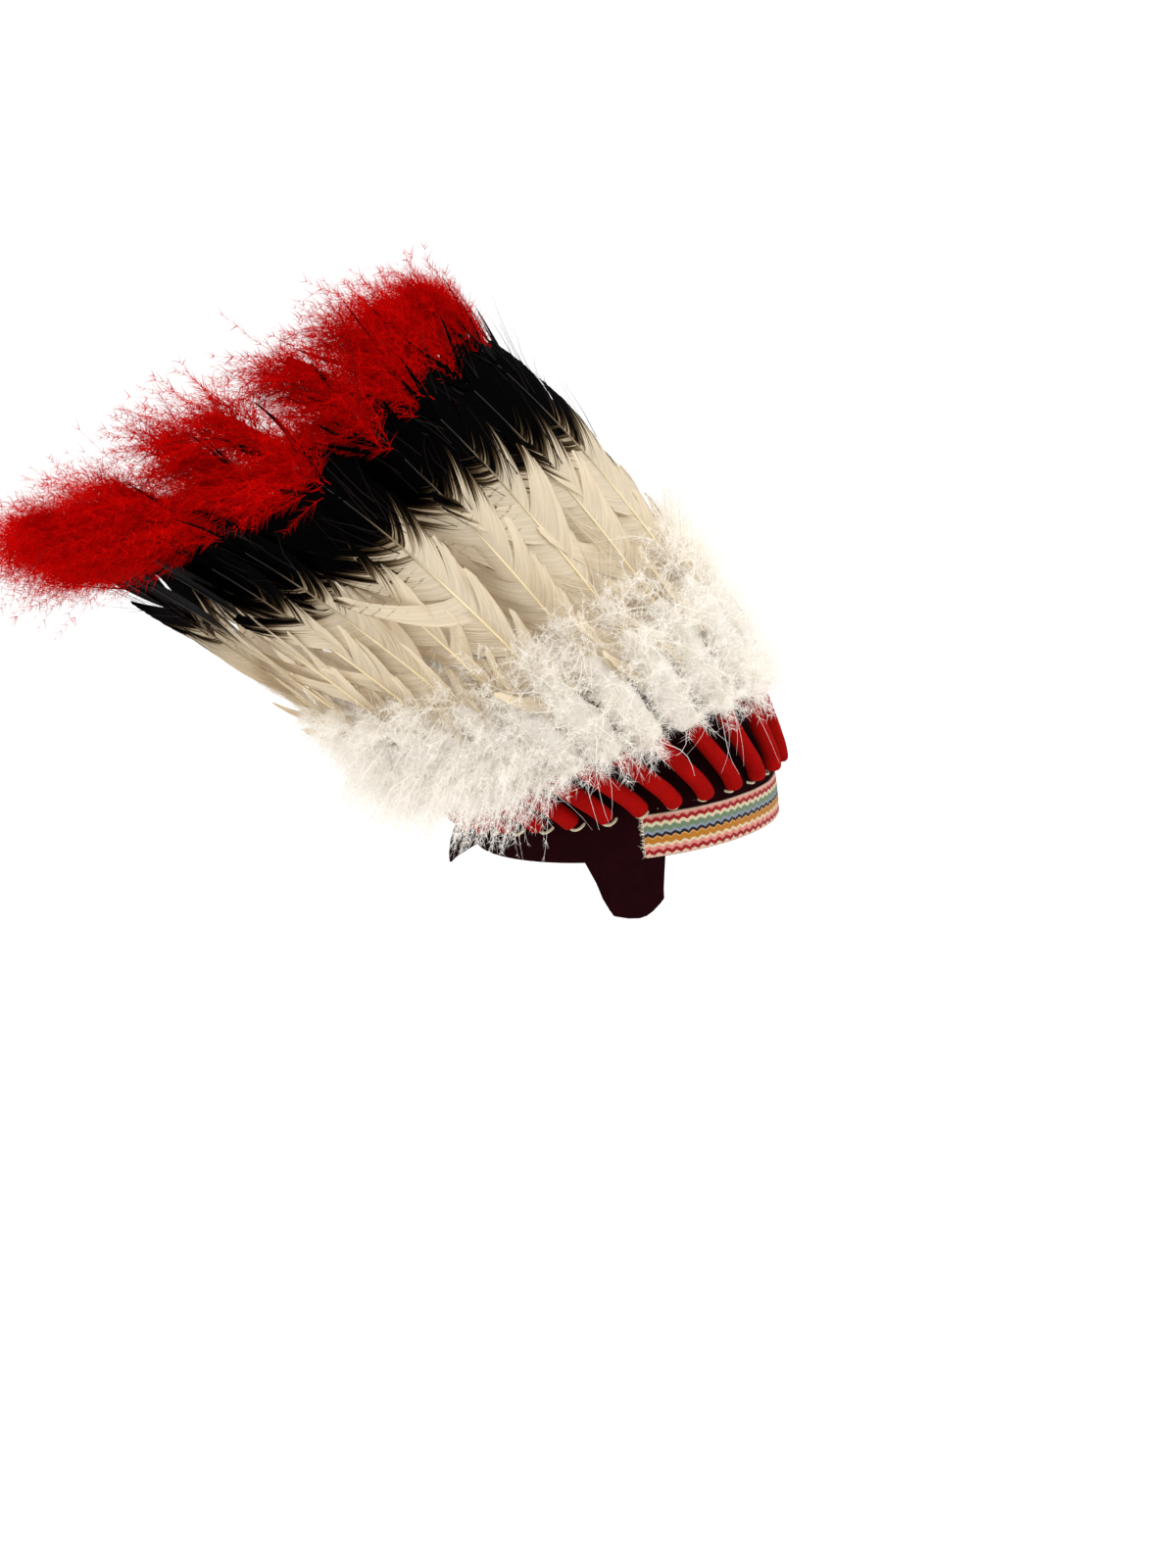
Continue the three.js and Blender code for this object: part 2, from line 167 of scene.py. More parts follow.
class HEADDRESS_PG_feathers(bpy.types.PropertyGroup):
    """Sizes and colours of the feathers"""

    barb_pitch: FloatProperty(
        name="Barb bundle",
        description="Spacing of the bundles of barbs along the quill",
        default=0.0015,
        unit="LENGTH",
    )
    down_strands: IntProperty(
        name="Down strands",
        description="Strands of white down at the foot of each feather",
        default=250,
    )
    plume_strands: IntProperty(
        name="Plume strands",
        description="Strands of red plume at the tip of each feather",
        default=270,
    )
    quill_radius: FloatProperty(
        name="Quill radius",
        description="Radius of the quill where it leaves its wrap",
        default=0.0015,
        unit="LENGTH",
    )
    ivory: colour("Ivory", "#e9dac0", "Colour of the vane's pale part")
    brown: colour("Brown", "#54422c", "Colour between the pale and the black part")
    black: colour("Black", "#020101", "Colour of the vane's dark part")
    down: colour("Down", "#fffcf6", "Colour of the white down")
    plume: colour("Plume", "#e00a06", "Colour of the dyed plume")


class HEADDRESS_PG_stage(bpy.types.PropertyGroup):
    """The camera's place and the light"""

    camera_distance: FloatProperty(
        name="Camera distance",
        description="From the middle of the head opening to the camera",
        default=0.78,
        unit="LENGTH",
    )
    camera_azimuth: FloatProperty(
        name="Camera azimuth",
        description="Turn of the camera from the wearer's right towards the back",
        default=math.radians(5),
        subtype="ANGLE",
    )
    camera_elevation: FloatProperty(
        name="Camera elevation",
        description="Height of the camera above the head opening, as an angle",
        default=math.radians(17),
        subtype="ANGLE",
    )
    camera_roll: FloatProperty(
        name="Camera roll",
        description="Lean of the camera to its right",
        default=math.radians(5.484),
        subtype="ANGLE",
    )
    camera_aim: FloatVectorProperty(
        name="Camera aim",
        description="The point in the middle of the picture",
        subtype="TRANSLATION",
        unit="LENGTH",
        default=(0.00828, 0.02242, 0.02606),
    )
    focal_length: FloatProperty(
        name="Focal length",
        description="Focal length in millimetres for a 36 mm picture height",
        default=27,
    )
    backdrop: colour("Backdrop", "#fdfdfd", "Colour of the floor")


# ------------------------------------------------------------------ the rim and the lines

_turns = np.linspace(0, math.pi, 4001)
_steps = np.hypot(
    CAP_HALF_WIDTH * np.cos((_turns[1:] + _turns[:-1]) / 2),
    CAP_HALF_LENGTH * np.sin((_turns[1:] + _turns[:-1]) / 2),
) * np.diff(_turns)
RIM_ARCS = np.concatenate([[0], np.cumsum(_steps)])
HALF_RIM = RIM_ARCS[-1]
FLAP_MIDDLE = HALF_RIM / 2 + FLAP_SET_BACK


def rim_turn(arc):
    return np.sign(arc) * np.interp(np.abs(arc), RIM_ARCS, _turns)


def cap_point(arc, z):
    """Points on the cap's outside, in mm, at arcs from the brow and at heights."""
    turn, scale = rim_turn(arc), np.interp(z, CAP_PROFILE["z"], CAP_PROFILE["scale"])
    x = CAP_HALF_WIDTH * scale * np.sin(turn)
    y = -CAP_HALF_LENGTH * scale * np.cos(turn)
    return np.stack(np.broadcast_arrays(x, y, z), -1).astype(float)


def rim_normal(arc):
    turn = rim_turn(arc)
    normal = np.stack(
        [
            np.sin(turn) / CAP_HALF_WIDTH,
            -np.cos(turn) / CAP_HALF_LENGTH,
            np.zeros_like(turn),
        ],
        -1,
    )
    return unit(normal)


def unit(vectors):
    return vectors / np.maximum(np.linalg.norm(vectors, axis=-1, keepdims=True), 1e-9)


def stance(column, arc):
    place = np.abs(arc) / (FEATHER_SPACING * FEATHERS_PER_SIDE)
    return np.interp(place, STANCE["place"], STANCE[column])


class Line:
    """The line that a wrap and its feather follow, with a frame at each point."""

    STEP = 1.0
    BEYOND = 70

    def __init__(self, arc, sway=0.0, lift=0.0, twist=0.0):
        self.arc, self.length = arc, float(stance("length", arc))
        self.free = self.length - WRAP_LENGTH
        self.rank = abs(arc) / (FEATHER_SPACING * FEATHERS_PER_SIDE)
        normal = rim_normal(np.float64(arc))
        side = -1 if arc < 0 else 1
        rearward = np.array([-normal[1] * side, normal[0] * side, 0])
        self.at = np.arange(0, self.length + self.BEYOND, self.STEP)
        marks = [0, WRAP_BEND, WRAP_LENGTH, WRAP_LENGTH + ROOT_LENGTH]
        marks += [self.length * MID_SHARE, self.length]
        names = ["foot", "wrap", "wrap", "root", "mid", "tip"]
        slope = np.radians(
            np.interp(self.at, marks, [stance(name, arc) for name in names])
        )
        along = np.stack([np.zeros_like(slope), np.cos(slope), np.sin(slope)], -1)
        along = unit(along + normal * stance("out", arc))
        start = cap_point(arc, float(stance("base", arc))) + normal * WRAP_STAND_OFF
        steps = np.concatenate([[np.zeros(3)], along[:-1] * self.STEP])
        across = unit(rearward - along * (along @ rearward)[:, None])
        out = unit(np.cross(along, across))
        out *= np.sign(out @ normal)[:, None]
        share = np.clip((self.at - WRAP_LENGTH) / self.free, 0, 1.3)
        bend = (share**2)[:, None]
        self.point = start + np.cumsum(steps, 0) + (across * sway + out * lift) * bend
        self.along = unit(np.gradient(self.point, axis=0))
        turn = ((SHINGLE if arc else 0) + twist * np.sin(math.pi * np.clip(share, 0, 1)))[:, None]
        self.across = across * np.cos(turn) - out * np.sin(turn)
        self.out = out * np.cos(turn) + across * np.sin(turn)

    def frame_at(self, at):
        """Points and the three directions at distances along the line, in mm."""
        picked = []
        for table in (self.point, self.along, self.across, self.out):
            picked.append(
                np.stack([np.interp(at, self.at, table[:, axis]) for axis in range(3)], -1)
            )
        return picked

    def place(self, at, rear, out):
        """Points at distances along, to the rear and outwards, in mm."""
        point, _, across, outwards = self.frame_at(at)
        return point + across * rear[..., None] + outwards * out[..., None]


# ------------------------------------------------------------------ mesh making


class Builder:
    """Gathers grids of points into one mesh with several materials."""

    def __init__(self):
        self.points, self.faces, self.slots, self.barb, self.spot = [], [], [], [], []
        self.count = 0

    def grid(self, points, slot, barb=None, spot=None, closed=False):
        """points is (strips, rows, columns, 3), in mm; each strip is a grid of quads."""
        strips, rows, columns, _ = points.shape
        index = np.arange(strips * rows * columns).reshape(strips, rows, columns)
        right = np.roll(index, -1, 2) if closed else index[:, :, 1:]
        left = index if closed else index[:, :, :-1]
        quads = np.stack(
            [left[:, :-1], right[:, :-1], right[:, 1:], left[:, 1:]], -1
        ).reshape(-1, 4)
        self.points.append(points.reshape(-1, 3) * MM)
        self.faces.append(quads + self.count)
        self.slots.append(np.full(len(quads), slot))
        size = points.shape[:3]
        for store, value in ((self.barb, barb), (self.spot, spot)):
            value = np.zeros((*size, 3)) if value is None else value
            store.append(np.broadcast_to(value, (*size, 3)).reshape(-1, 3))
        self.count += strips * rows * columns

    def fins(self, points, slot, barb):
        """points is (fins, 3, 3), in mm: one triangle to a fin."""
        self.points.append(points.reshape(-1, 3) * MM)
        self.faces.append(np.arange(points.size // 3).reshape(-1, 3) + self.count)
        self.slots.append(np.full(len(points), slot))
        self.barb.append(barb.reshape(-1, 3))
        self.spot.append(np.zeros((points.size // 3, 3)))
        self.count += points.size // 3

    def make(self, name, materials, smooth=True):
        points = np.concatenate(self.points).astype(np.float32)
        corners = np.concatenate([faces.ravel() for faces in self.faces]).astype(np.int32)
        totals = np.concatenate([np.full(len(faces), faces.shape[1]) for faces in self.faces])
        mesh = bpy.data.meshes.new(name)
        mesh.vertices.add(len(points))
        mesh.vertices.foreach_set("co", points.ravel())
        mesh.loops.add(len(corners))
        mesh.loops.foreach_set("vertex_index", corners)
        mesh.polygons.add(len(totals))
        mesh.polygons.foreach_set("loop_start", np.cumsum(totals) - totals)
        mesh.polygons.foreach_set("loop_total", totals)
        mesh.polygons.foreach_set("material_index", np.concatenate(self.slots))
        mesh.polygons.foreach_set("use_smooth", np.full(len(totals), smooth))
        for key, store in (("barb", self.barb), ("spot", self.spot)):
            layer = mesh.attributes.new(key, "FLOAT_VECTOR", "POINT")
            layer.data.foreach_set("vector", np.concatenate(store).astype(np.float32).ravel())
        mesh.update(calc_edges=True)
        mesh.validate()
        for material in materials:
            mesh.materials.append(material)
        piece = bpy.data.objects.new(name, mesh)
        bpy.context.scene.collection.objects.link(piece)
        return piece


def strands(rng, root, direction, length, bend, face, width, rows=4, curl=0.0):
    """Thin tapered ribbons, as (strands, rows, 2, 3) points in mm."""
    count = len(root)
    t = np.linspace(0, 1, rows)[None, :, None]
    line = root[:, None] + length[:, None, None] * (
        direction[:, None] * t + bend[:, None] * t**2
    )
    if curl:
        first = unit(np.cross(direction, face + 1e-3))
        second = np.cross(direction, first)
        phase = rng.uniform(0, 2 * math.pi, (count, 1, 1))
        waves = rng.uniform(0.5, 1.6, (count, 1, 1)) * 2 * math.pi
        swing = curl * rng.uniform(0.2, 1.0, (count, 1, 1)) * t
        line = line + swing * (
            first[:, None] * np.sin(phase + waves * t)
            + second[:, None] * np.cos(phase + waves * t)
        )
    tangent = np.gradient(line, axis=1)
    across = unit(np.cross(tangent, face[:, None])) * 0.5
    taper = width[:, None, None] * (1 - 0.82 * t)
    return np.stack([line - across * taper, line + across * taper], 2)


def inside(points):
    """Shortens strips that would reach past the space that the headdress fills."""
    low, high = (np.array(corner) / MM for corner in CAD_BOX)
    room = (high - low) * 0.022 + 8
    root = points[:, :1].mean(2, keepdims=True)
    offset = points - root
    past = np.maximum(offset / (high + room - root), offset / (low - room - root))
    scale = 1 / np.maximum(past.max(axis=(1, 2, 3)), 1)
    return root + offset * scale[:, None, None, None]


def barbules(rng, stems, each, length, width):
    """Short fibres along the two sides of each stem, one triangle to a fibre, in mm."""
    count, rows = stems.shape[:2]
    line = stems.mean(2)
    pick = np.repeat(np.arange(count), each)
    share = (
        np.tile((np.arange(each) + 0.5) / each, count)
        + rng.normal(0, 0.4 / each, count * each)
    )
    place = np.clip(share, 0.02, 0.98) * (rows - 1)
    first = np.clip(place.astype(int), 0, rows - 2)
    part = (place - first)[:, None]
    start, end = line[pick, first], line[pick, first + 1]
    along = unit(end - start)
    aside = unit(np.cross(along, rng.normal(0, 1, (len(pick), 3))))
    root = start * (1 - part) + end * part
    fins = []
    for side in (-1, 1):
        lean = np.radians(rng.normal(34, 13, (len(pick), 1)))
        reach = length * rng.uniform(0.45, 1.15, (len(pick), 1)) * (1 - 0.45 * share[:, None])
        tip = root + (along * np.cos(lean) + side * aside * np.sin(lean)) * reach
        fins.append(np.stack([root - along * width / 2, root + along * width / 2, tip], 1))
    return np.concatenate(fins), np.tile(pick, 2)


def tube(path, radius, normal, sides):
    """A round tube as one closed strip: path (rows, 3), radius (rows) or a number."""
    tangent = unit(np.gradient(path, axis=0))
    first = unit(np.cross(tangent, normal))
    second = np.cross(first, tangent)
    turn = np.linspace(0, 2 * math.pi, sides, endpoint=False)
    radius = np.broadcast_to(radius, len(path))[:, None, None]
    ring = first[:, None] * np.cos(turn)[None, :, None]
    ring = ring + second[:, None] * np.sin(turn)[None, :, None]
    return (path[:, None] + ring * radius)[None]


def dress(piece, slot, *nodes):
    """Rides a piece on the one body and lets it stand for its CAD nodes."""
    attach(piece, "root")
    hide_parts(*nodes)


# ------------------------------------------------------------------ materials


def node(tree, kind, links, out=0, stops=(), **settings):
    """Adds a shader node with its settings, and returns one or more of its outputs.

    links is input name or number to a value or to an output; stops is the places and
    colours of a colour ramp.
    """
    made = tree.nodes.new("ShaderNode" + kind)
    for key, value in settings.items():
        setattr(made, key, value)
    for position, _value in stops[2:]:
        made.color_ramp.elements.new(position)
    for place, (position, value) in enumerate(stops):
        made.color_ramp.elements[place].position = position
        made.color_ramp.elements[place].color = rgba(value)
    for key, value in links.items():
        if isinstance(value, bpy.types.NodeSocket):
            tree.links.new(value, made.inputs[key])
        else:
            made.inputs[key].default_value = value
    return made.outputs[out]


def material(name, **settings):
    """A material with a Principled shader whose plain settings are given."""
    made = bpy.data.materials.new(name)
    made.use_nodes = True
    shader = made.node_tree.nodes["Principled BSDF"]
    for key, value in settings.items():
        shader.inputs[key.replace("_", " ")].default_value = value
    return made, made.node_tree, shader


def rgba(value):
    return (*value, 1.0)


def felt_material(name, value, fibre, sheen):
    # Pressed wool felt: matt, with a short nap that lightens it where it turns away.
    made, tree, shader = material(
        name, Roughness=1.0, Specular_IOR_Level=0.04, Sheen_Weight=sheen, Sheen_Roughness=0.6
    )
    shader.inputs["Sheen Tint"].default_value = rgba(value)
    where = node(tree, "TexCoord", {}, out="Object")
    nap = node(
        tree, "TexNoise", {"Vector": where, "Scale": 1 / fibre, "Detail": 4.0, "Roughness": 0.7}
    )
    patch = node(tree, "TexNoise", {"Vector": where, "Scale": 90.0, "Detail": 3.0})
    shade = node(
        tree, "Math",
        {
            0: node(tree, "MapRange", {0: patch, 1: 0.3, 2: 0.7, 3: 0.8, 4: 1.1}),
            1: node(tree, "MapRange", {0: nap, 1: 0.3, 2: 0.7, 3: 0.78, 4: 1.18}),
        },
        operation="MULTIPLY",
    )
    tree.links.new(
        node(
            tree, "Mix", {0: 1.0, 6: rgba(value), 7: shade}, out=2, data_type="RGBA",
            blend_type="MULTIPLY",
        ),
        shader.inputs["Base Color"],
    )
    bump = node(tree, "Bump", {"Height": nap, "Strength": 0.5, "Distance": 0.0006})
    tree.links.new(bump, shader.inputs["Normal"])
    return made


def vane_material(props):
    # Bird's flight feather: keratin barbs laid side by side, so it shines in streaks.
    made, tree, shader = material("feather vane keratin", Roughness=0.45, IOR=1.07)
    root, share, seed = node(
        tree, "SeparateXYZ",
        {0: node(tree, "Attribute", {}, out="Vector", attribute_name="barb")}, out=slice(0, 3),
    )
    height, rear, start = node(
        tree, "SeparateXYZ",
        {0: node(tree, "Attribute", {}, out="Vector", attribute_name="spot")}, out=slice(0, 3),
    )
    # Streaks run up each barb: under a millimetre wide and long along it.
    streak_at = node(
        tree, "CombineXYZ",
        {0: root, 1: node(tree, "Math", {0: share, 1: 1.2}, operation="MULTIPLY"), 2: seed},
    )
    broad = node(tree, "TexNoise", {"Vector": streak_at, "Scale": 0.16, "Detail": 2.0})
    streak = node(
        tree, "TexNoise", {"Vector": streak_at, "Scale": 0.7, "Detail": 3.0, "Roughness": 0.7}
    )
    fine = node(
        tree, "TexNoise", {"Vector": streak_at, "Scale": 1.9, "Detail": 2.0, "Roughness": 0.6}
    )
    # The dark part starts at its own height on each feather, and its edge runs up
    # and down single barbs.
    teeth = node(
        tree, "Math",
        {
            0: node(tree, "MapRange", {0: streak, 1: 0.3, 2: 0.7, 3: -0.04, 4: 0.04}),
            1: node(tree, "MapRange", {0: broad, 1: 0.3, 2: 0.7, 3: -0.04, 4: 0.04}),
        },
        operation="ADD",
    )
    above = node(
        tree, "Math",
        {0: node(tree, "Math", {0: height, 1: start}, operation="SUBTRACT"), 1: teeth},
        operation="ADD",
    )
    stops = [
        (0.0, props.ivory), (0.4, props.ivory), (0.47, linear("#9c8a6e")), (0.53, props.brown),
        (0.62, props.black),
    ]
    colour = node(
        tree, "ValToRGB",
        {0: node(tree, "MapRange", {0: above, 1: -0.12, 2: 0.12, 3: 0, 4: 1})}, stops=stops,
    )
    # A few narrow bars cross the rear vane at right angles, just below the dark part.
    wave = node(
        tree, "Math",
        {
            0: node(
                tree, "Math",
                {
                    0: node(
                        tree, "Math",
                        {
                            0: height,
                            1: node(tree, "MapRange", {0: broad, 1: 0, 2: 1, 3: 0, 4: 0.012}),
                        },
                        operation="ADD",
                    ),
                    1: 330.0,
                },
                operation="MULTIPLY",
            ),
        },
        operation="SINE",
    )
    bars = node(
        tree, "Math",
        {
            0: node(tree, "MapRange", {0: wave, 1: 0.72, 2: 0.97, 3: 0, 4: 0.85}),
            1: node(tree, "MapRange", {0: above, 1: -0.085, 2: -0.035, 3: 0, 4: 1}),
        },
        operation="MULTIPLY",
    )
    bars = node(
        tree, "Math", {0: bars, 1: node(tree, "MapRange", {0: rear, 1: 2, 2: 9, 3: 0, 4: 1})},
        operation="MULTIPLY",
    )
    bars = node(
        tree, "Math",
        {0: bars, 1: node(tree, "MapRange", {0: above, 1: -0.01, 2: 0.01, 3: 1, 4: 0})},
        operation="MULTIPLY",
    )
    bars = node(
        tree, "Math",
        {0: bars, 1: node(tree, "MapRange", {0: streak, 1: 0.42, 2: 0.55, 3: 0, 4: 1})},
        operation="MULTIPLY",
    )
    bars = node(
        tree, "Math",
        {
            0: bars,
            1: node(
                tree, "Math",
                {
                    0: node(
                        tree, "Math",
                        {0: node(tree, "Math", {0: start, 1: 37.0}, operation="MULTIPLY")},
                        operation="FRACT",
                    ),
                    1: 0.45,
                },
                operation="GREATER_THAN",
            ),
        },
        operation="MULTIPLY",
    )
    colour = node(
        tree, "Mix", {0: bars, 6: colour, 7: rgba(linear("#33261a"))}, out=2, data_type="RGBA"
    )
    shade = node(
        tree, "Math",
        {
            0: node(tree, "MapRange", {0: fine, 1: 0.3, 2: 0.7, 3: 0.86, 4: 1.08}),
            1: node(tree, "MapRange", {0: streak, 1: 0.3, 2: 0.7, 3: 0.86, 4: 1.08}),
        },
        operation="MULTIPLY",
    )
    shade = node(
        tree, "Math",
        {0: shade, 1: node(tree, "MapRange", {0: share, 1: 0, 2: 1, 3: 0.93, 4: 1.05})},
        operation="MULTIPLY",
    )
    colour = node(
        tree, "Mix", {0: 1.0, 6: colour, 7: shade}, out=2, data_type="RGBA",
        blend_type="MULTIPLY",
    )
    # Here and there a dark barb has faded to brown-grey.
    faded = node(
        tree, "Math",
        {
            0: node(tree, "MapRange", {0: streak, 1: 0.62, 2: 0.74, 3: 0, 4: 0.5}),
            1: node(tree, "MapRange", {0: above, 1: 0.0, 2: 0.05, 3: 0, 4: 1}),
        },
        operation="MULTIPLY",
    )
    colour = node(
        tree, "Mix", {0: faded, 6: colour, 7: rgba(linear("#1e1712"))}, out=2, data_type="RGBA"
    )
    tree.links.new(colour, shader.inputs["Base Color"])
    bump = node(tree, "Bump", {"Height": fine, "Strength": 0.35, "Distance": 0.0005})
    tree.links.new(bump, shader.inputs["Normal"])
    through(tree, shader, colour, 0.35)
    return made


def quill_material(props):
    # Quill keratin: smooth and horny, honey coloured below and paler up the vane.
    made, tree, shader = material(
        "feather quill keratin", Roughness=0.38, Specular_IOR_Level=0.3
    )
    height, _, start = node(
        tree, "SeparateXYZ",
        {0: node(tree, "Attribute", {}, out="Vector", attribute_name="spot")}, out=slice(0, 3),
    )
    above = node(tree, "Math", {0: height, 1: start}, operation="SUBTRACT")
    stops = [
        (0.0, linear("#dcc48e")), (0.5, linear("#e6d5b0")), (0.72, linear("#75644c")),
        (0.82, linear("#120d0a")),
    ]
    tree.links.new(
        node(
            tree, "ValToRGB",
            {0: node(tree, "MapRange", {0: above, 1: -0.45, 2: 0.2, 3: 0, 4: 1})}, stops=stops,
        ),
        shader.inputs["Base Color"],
    )
    return made


def through(tree, shader, hue, share):
    """Lets part of the light through to the other side, as thin keratin does."""
    thin = node(tree, "BsdfTranslucent", {0: hue})
    both = node(tree, "MixShader", {0: share, 1: shader.outputs[0], 2: thin})
    tree.links.new(both, tree.nodes["Material Output"].inputs[0])


def strand_material(name, value, dull, root, share):
    # Marabou down: each strand is a fine fuzzy barb, matt, and light goes through it. A painted
    # shade, set by root, darkens each strand towards its root, inside the mass.
    made, tree, shader = material(name, Roughness=1.0, Specular_IOR_Level=0.0)
    _, along, tone = node(
        tree, "SeparateXYZ",
        {0: node(tree, "Attribute", {}, out="Vector", attribute_name="barb")}, out=slice(0, 3),
    )
    # Random tone by strand, times a painted shade that darkens each strand towards its root.
    shade = node(
        tree, "Math",
        {
            0: node(tree, "MapRange", {0: tone, 1: 0, 2: 1, 3: dull, 4: 1}),
            1: node(tree, "MapRange", {0: along, 1: 0, 2: 1, 3: root, 4: 1}),
        },
        operation="MULTIPLY",
    )
    colour = node(
        tree, "Mix", {0: 1.0, 6: rgba(value), 7: shade}, out=2, data_type="RGBA",
        blend_type="MULTIPLY",
    )
    tree.links.new(colour, shader.inputs["Base Color"])
    through(tree, shader, colour, share)
    return made


def clear_glue():
    # Hot-melt glue: a clear, slightly milky drop with a wet shine.
    made, tree, shader = material(
        "clear hot-melt glue", Roughness=0.12, IOR=1.48, Transmission_Weight=0.6
    )
    where = node(tree, "TexCoord", {}, out="Object")
    haze = node(tree, "TexNoise", {"Vector": where, "Scale": 900.0})
    colour = node(
        tree, "Mix", {0: haze, 6: rgba(linear("#d8d0c4")), 7: rgba(linear("#f3eee6"))}, out=2,
        data_type="RGBA",
    )
    tree.links.new(colour, shader.inputs["Base Color"])
    return made


def plain_fibre(name, value, roughness):
    # Spun or loose fibre: matt, a little lighter and darker from one place to the next.
    made, tree, shader = material(name, Roughness=roughness, IOR=1.15)
    where = node(tree, "TexCoord", {}, out="Object")
    patch = node(tree, "TexNoise", {"Vector": where, "Scale": 700.0, "Detail": 3.0})
    shade = node(tree, "MapRange", {0: patch, 1: 0.3, 2: 0.7, 3: 0.7, 4: 1.15})
    tree.links.new(
        node(
            tree, "Mix", {0: 1.0, 6: rgba(value), 7: shade}, out=2, data_type="RGBA",
            blend_type="MULTIPLY",
        ),
        shader.inputs["Base Color"],
    )
    bump = node(tree, "Bump", {"Height": patch, "Strength": 0.5, "Distance": 0.0003})
    tree.links.new(bump, shader.inputs["Normal"])
    return made


# ------------------------------------------------------------------ feathers

VANE, QUILL, DOWN, PLUME, HAIR, GLUE, FREED = range(7)
VANE_OUTLINE = {
    "share": [0.05, 0.2, 0.35, 0.5, 0.64, 0.76, 0.86, 1.0],
    "front": [9, 14, 16, 18, 19, 18, 14, 6],
    "rear": [14, 24, 32, 36, 37, 34, 24, 8],
}
# Where each feather's vane ends and its plume starts, by its place, as a share of
# its free length, and where its dark part starts.
PLUME_FOOT = {"place": [0, 0.15, 0.3, 0.4, 1], "share": [0.87, 0.87, 0.85, 0.81, 0.79]}
PLUME_TOP = {"place": [0, 0.3, 0.6, 0.8, 1], "share": [0.95, 0.95, 0.94, 0.9, 0.87]}
DARK_START = {
    "place": [0, 0.15, 0.3, 0.45, 0.6, 1],
    "share": [0.56, 0.57, 0.6, 0.6, 0.54, 0.52],
}
# Neighbouring feathers lean together, so that their plumes gather in bunches:
# the first and last feather of each bunch, counted from the brow.
# Each also leans backwards as a whole, in mm at its tips.
BUNCHES = [(0, 5, 8), (6, 7, 9), (8, 13, 13)]


def shares(table, place):
    return float(np.interp(place, table["place"], table["share"]))


def vane(builder, line, rng, props, seed, start):
    """The vane on both sides of the quill, in pieces that have split apart."""
    free, pitch = line.free, props.barb_pitch / MM
    foot = shares(PLUME_FOOT, line.rank) * free
    for side, column in ((-1, "front"), (1, "rear")):
        column = "front" if line.arc == 0 else column
        top = foot + (2 if side > 0 else 8)
        low = 0.1 * free
        while low < top - 4:
            share = low / free
            size = (
                np.interp(share, [0.1, 0.35, 0.6, 0.75, 0.9], [14, 26, 42, 22, 11])
                * rng.uniform(0.6, 1.5)
            )
            high = min(low + size, top)
            if top - high < 8:
                high = top
            loose = np.interp(share, [0.1, 0.45, 0.6, 0.8], [1.0, 0.5, 0.15, 0.5])
            rows = max(4, int((high - low) / pitch) + 1)
            root = np.linspace(low, high, rows)[:, None]
            q = (root - low) / (high - low)
            t = np.linspace(0, 1, 9)[None]
            width = np.interp(root / foot, VANE_OUTLINE["share"], VANE_OUTLINE[column])
            if side < 0:
                width = width * np.interp(line.rank, [0, 0.25], [0.65, 1])
            width = width * (1 + rng.normal(0, 0.05 + 0.05 * loose))
            width = (
                width * (1 - 0.22 * loose * np.abs(2 * q - 1) ** 3)
                + rng.normal(0, 0.25, (rows, 1))
            )
            slant = (1.3 if side > 0 else 1.8) * (1 + rng.normal(0, 0.10 * loose + 0.03))
            close = rng.uniform(0.1, 0.3) * (0.4 + loose) * (0.5 - q) * (high - low)
            at = (
                root
                + width * slant * t ** 1.35
                + close * t ** 2
                + rng.normal(0, 0.5, (rows, 1)) * t ** 3
            )
            rear = side * width * (1 - (1 - t) ** 1.3)
            lift = rng.normal(0.06, 0.22) * loose + rng.normal(0, 0.03)
            roll = rng.normal(0, 0.012) * loose
            out = -(rear**2) / (2 * CAMBER_RADIUS) + lift * np.abs(rear) + roll * rear**2
            out = out + loose * 0.5 * np.sin(q * 5 + t * 3 + rng.uniform(0, 6)) * t
            points = line.place(WRAP_LENGTH + at, rear, out)[None]
            barb = np.stack(np.broadcast_arrays(root + 200 * side, t, seed + share), -1)[None]
            spot = np.stack(np.broadcast_arrays(at / free, rear, start + 0 * at), -1)[None]
            builder.grid(points, VANE, barb, spot)
            low = high


def slivers(builder, line, rng, seed, start):
    """Narrow pointed pieces of dark vane that lie over the plume's foot."""
    free = line.free
    foot = shares(PLUME_FOOT, line.rank) * free
    for side in (-1, -1, 1, 1, 1, 1, 1):
        root = foot + rng.uniform(-34, 2)
        length, wide = rng.uniform(26, 50), rng.uniform(2.0, 5.0)
        t = np.linspace(0, 1, 9)[:, None]
        open_out = rng.uniform(0.12, 0.75) * side
        middle = open_out * length * (t - rng.uniform(0.1, 0.5) * t**2)
        half = np.array([-1, -0.3, 0.3, 1]) * wide / 2 * (1 - t**1.7) ** 0.8
        at = root + length * t * (1 - 0.15 * abs(open_out)) + 0 * half
        out = 1.0 + rng.uniform(5, 12) * t + rng.normal(0, 2) * t**2 - 0.25 * half**2
        points = line.place(WRAP_LENGTH + at, middle + half, out + 0 * half)[None]
        barb = np.stack(np.broadcast_arrays(root + half * 1.5 + 200 * side, t, seed), -1)[None]
        spot = np.stack(np.broadcast_arrays(at / free, middle, start), -1)[None]
        builder.grid(points, VANE, barb, spot)


def quill(builder, line, props, start):
    free = line.free
    at = np.linspace(-8, shares(PLUME_FOOT, line.rank) * free + 12, 44)
    point, _, _, out = line.frame_at(WRAP_LENGTH + at)
    share = np.clip(at / free, 0, 1)
    radius = props.quill_radius / MM * (1 - 0.9 * share**0.6)
    points = tube(point + out * (0.4 * radius)[:, None], radius, out, 7)
    spot = np.stack(np.broadcast_arrays(share[None, :, None], 0.0, start), -1)
    builder.grid(
        points, QUILL, None, np.broadcast_to(spot, (*points.shape[:3], 3)), closed=True
    )


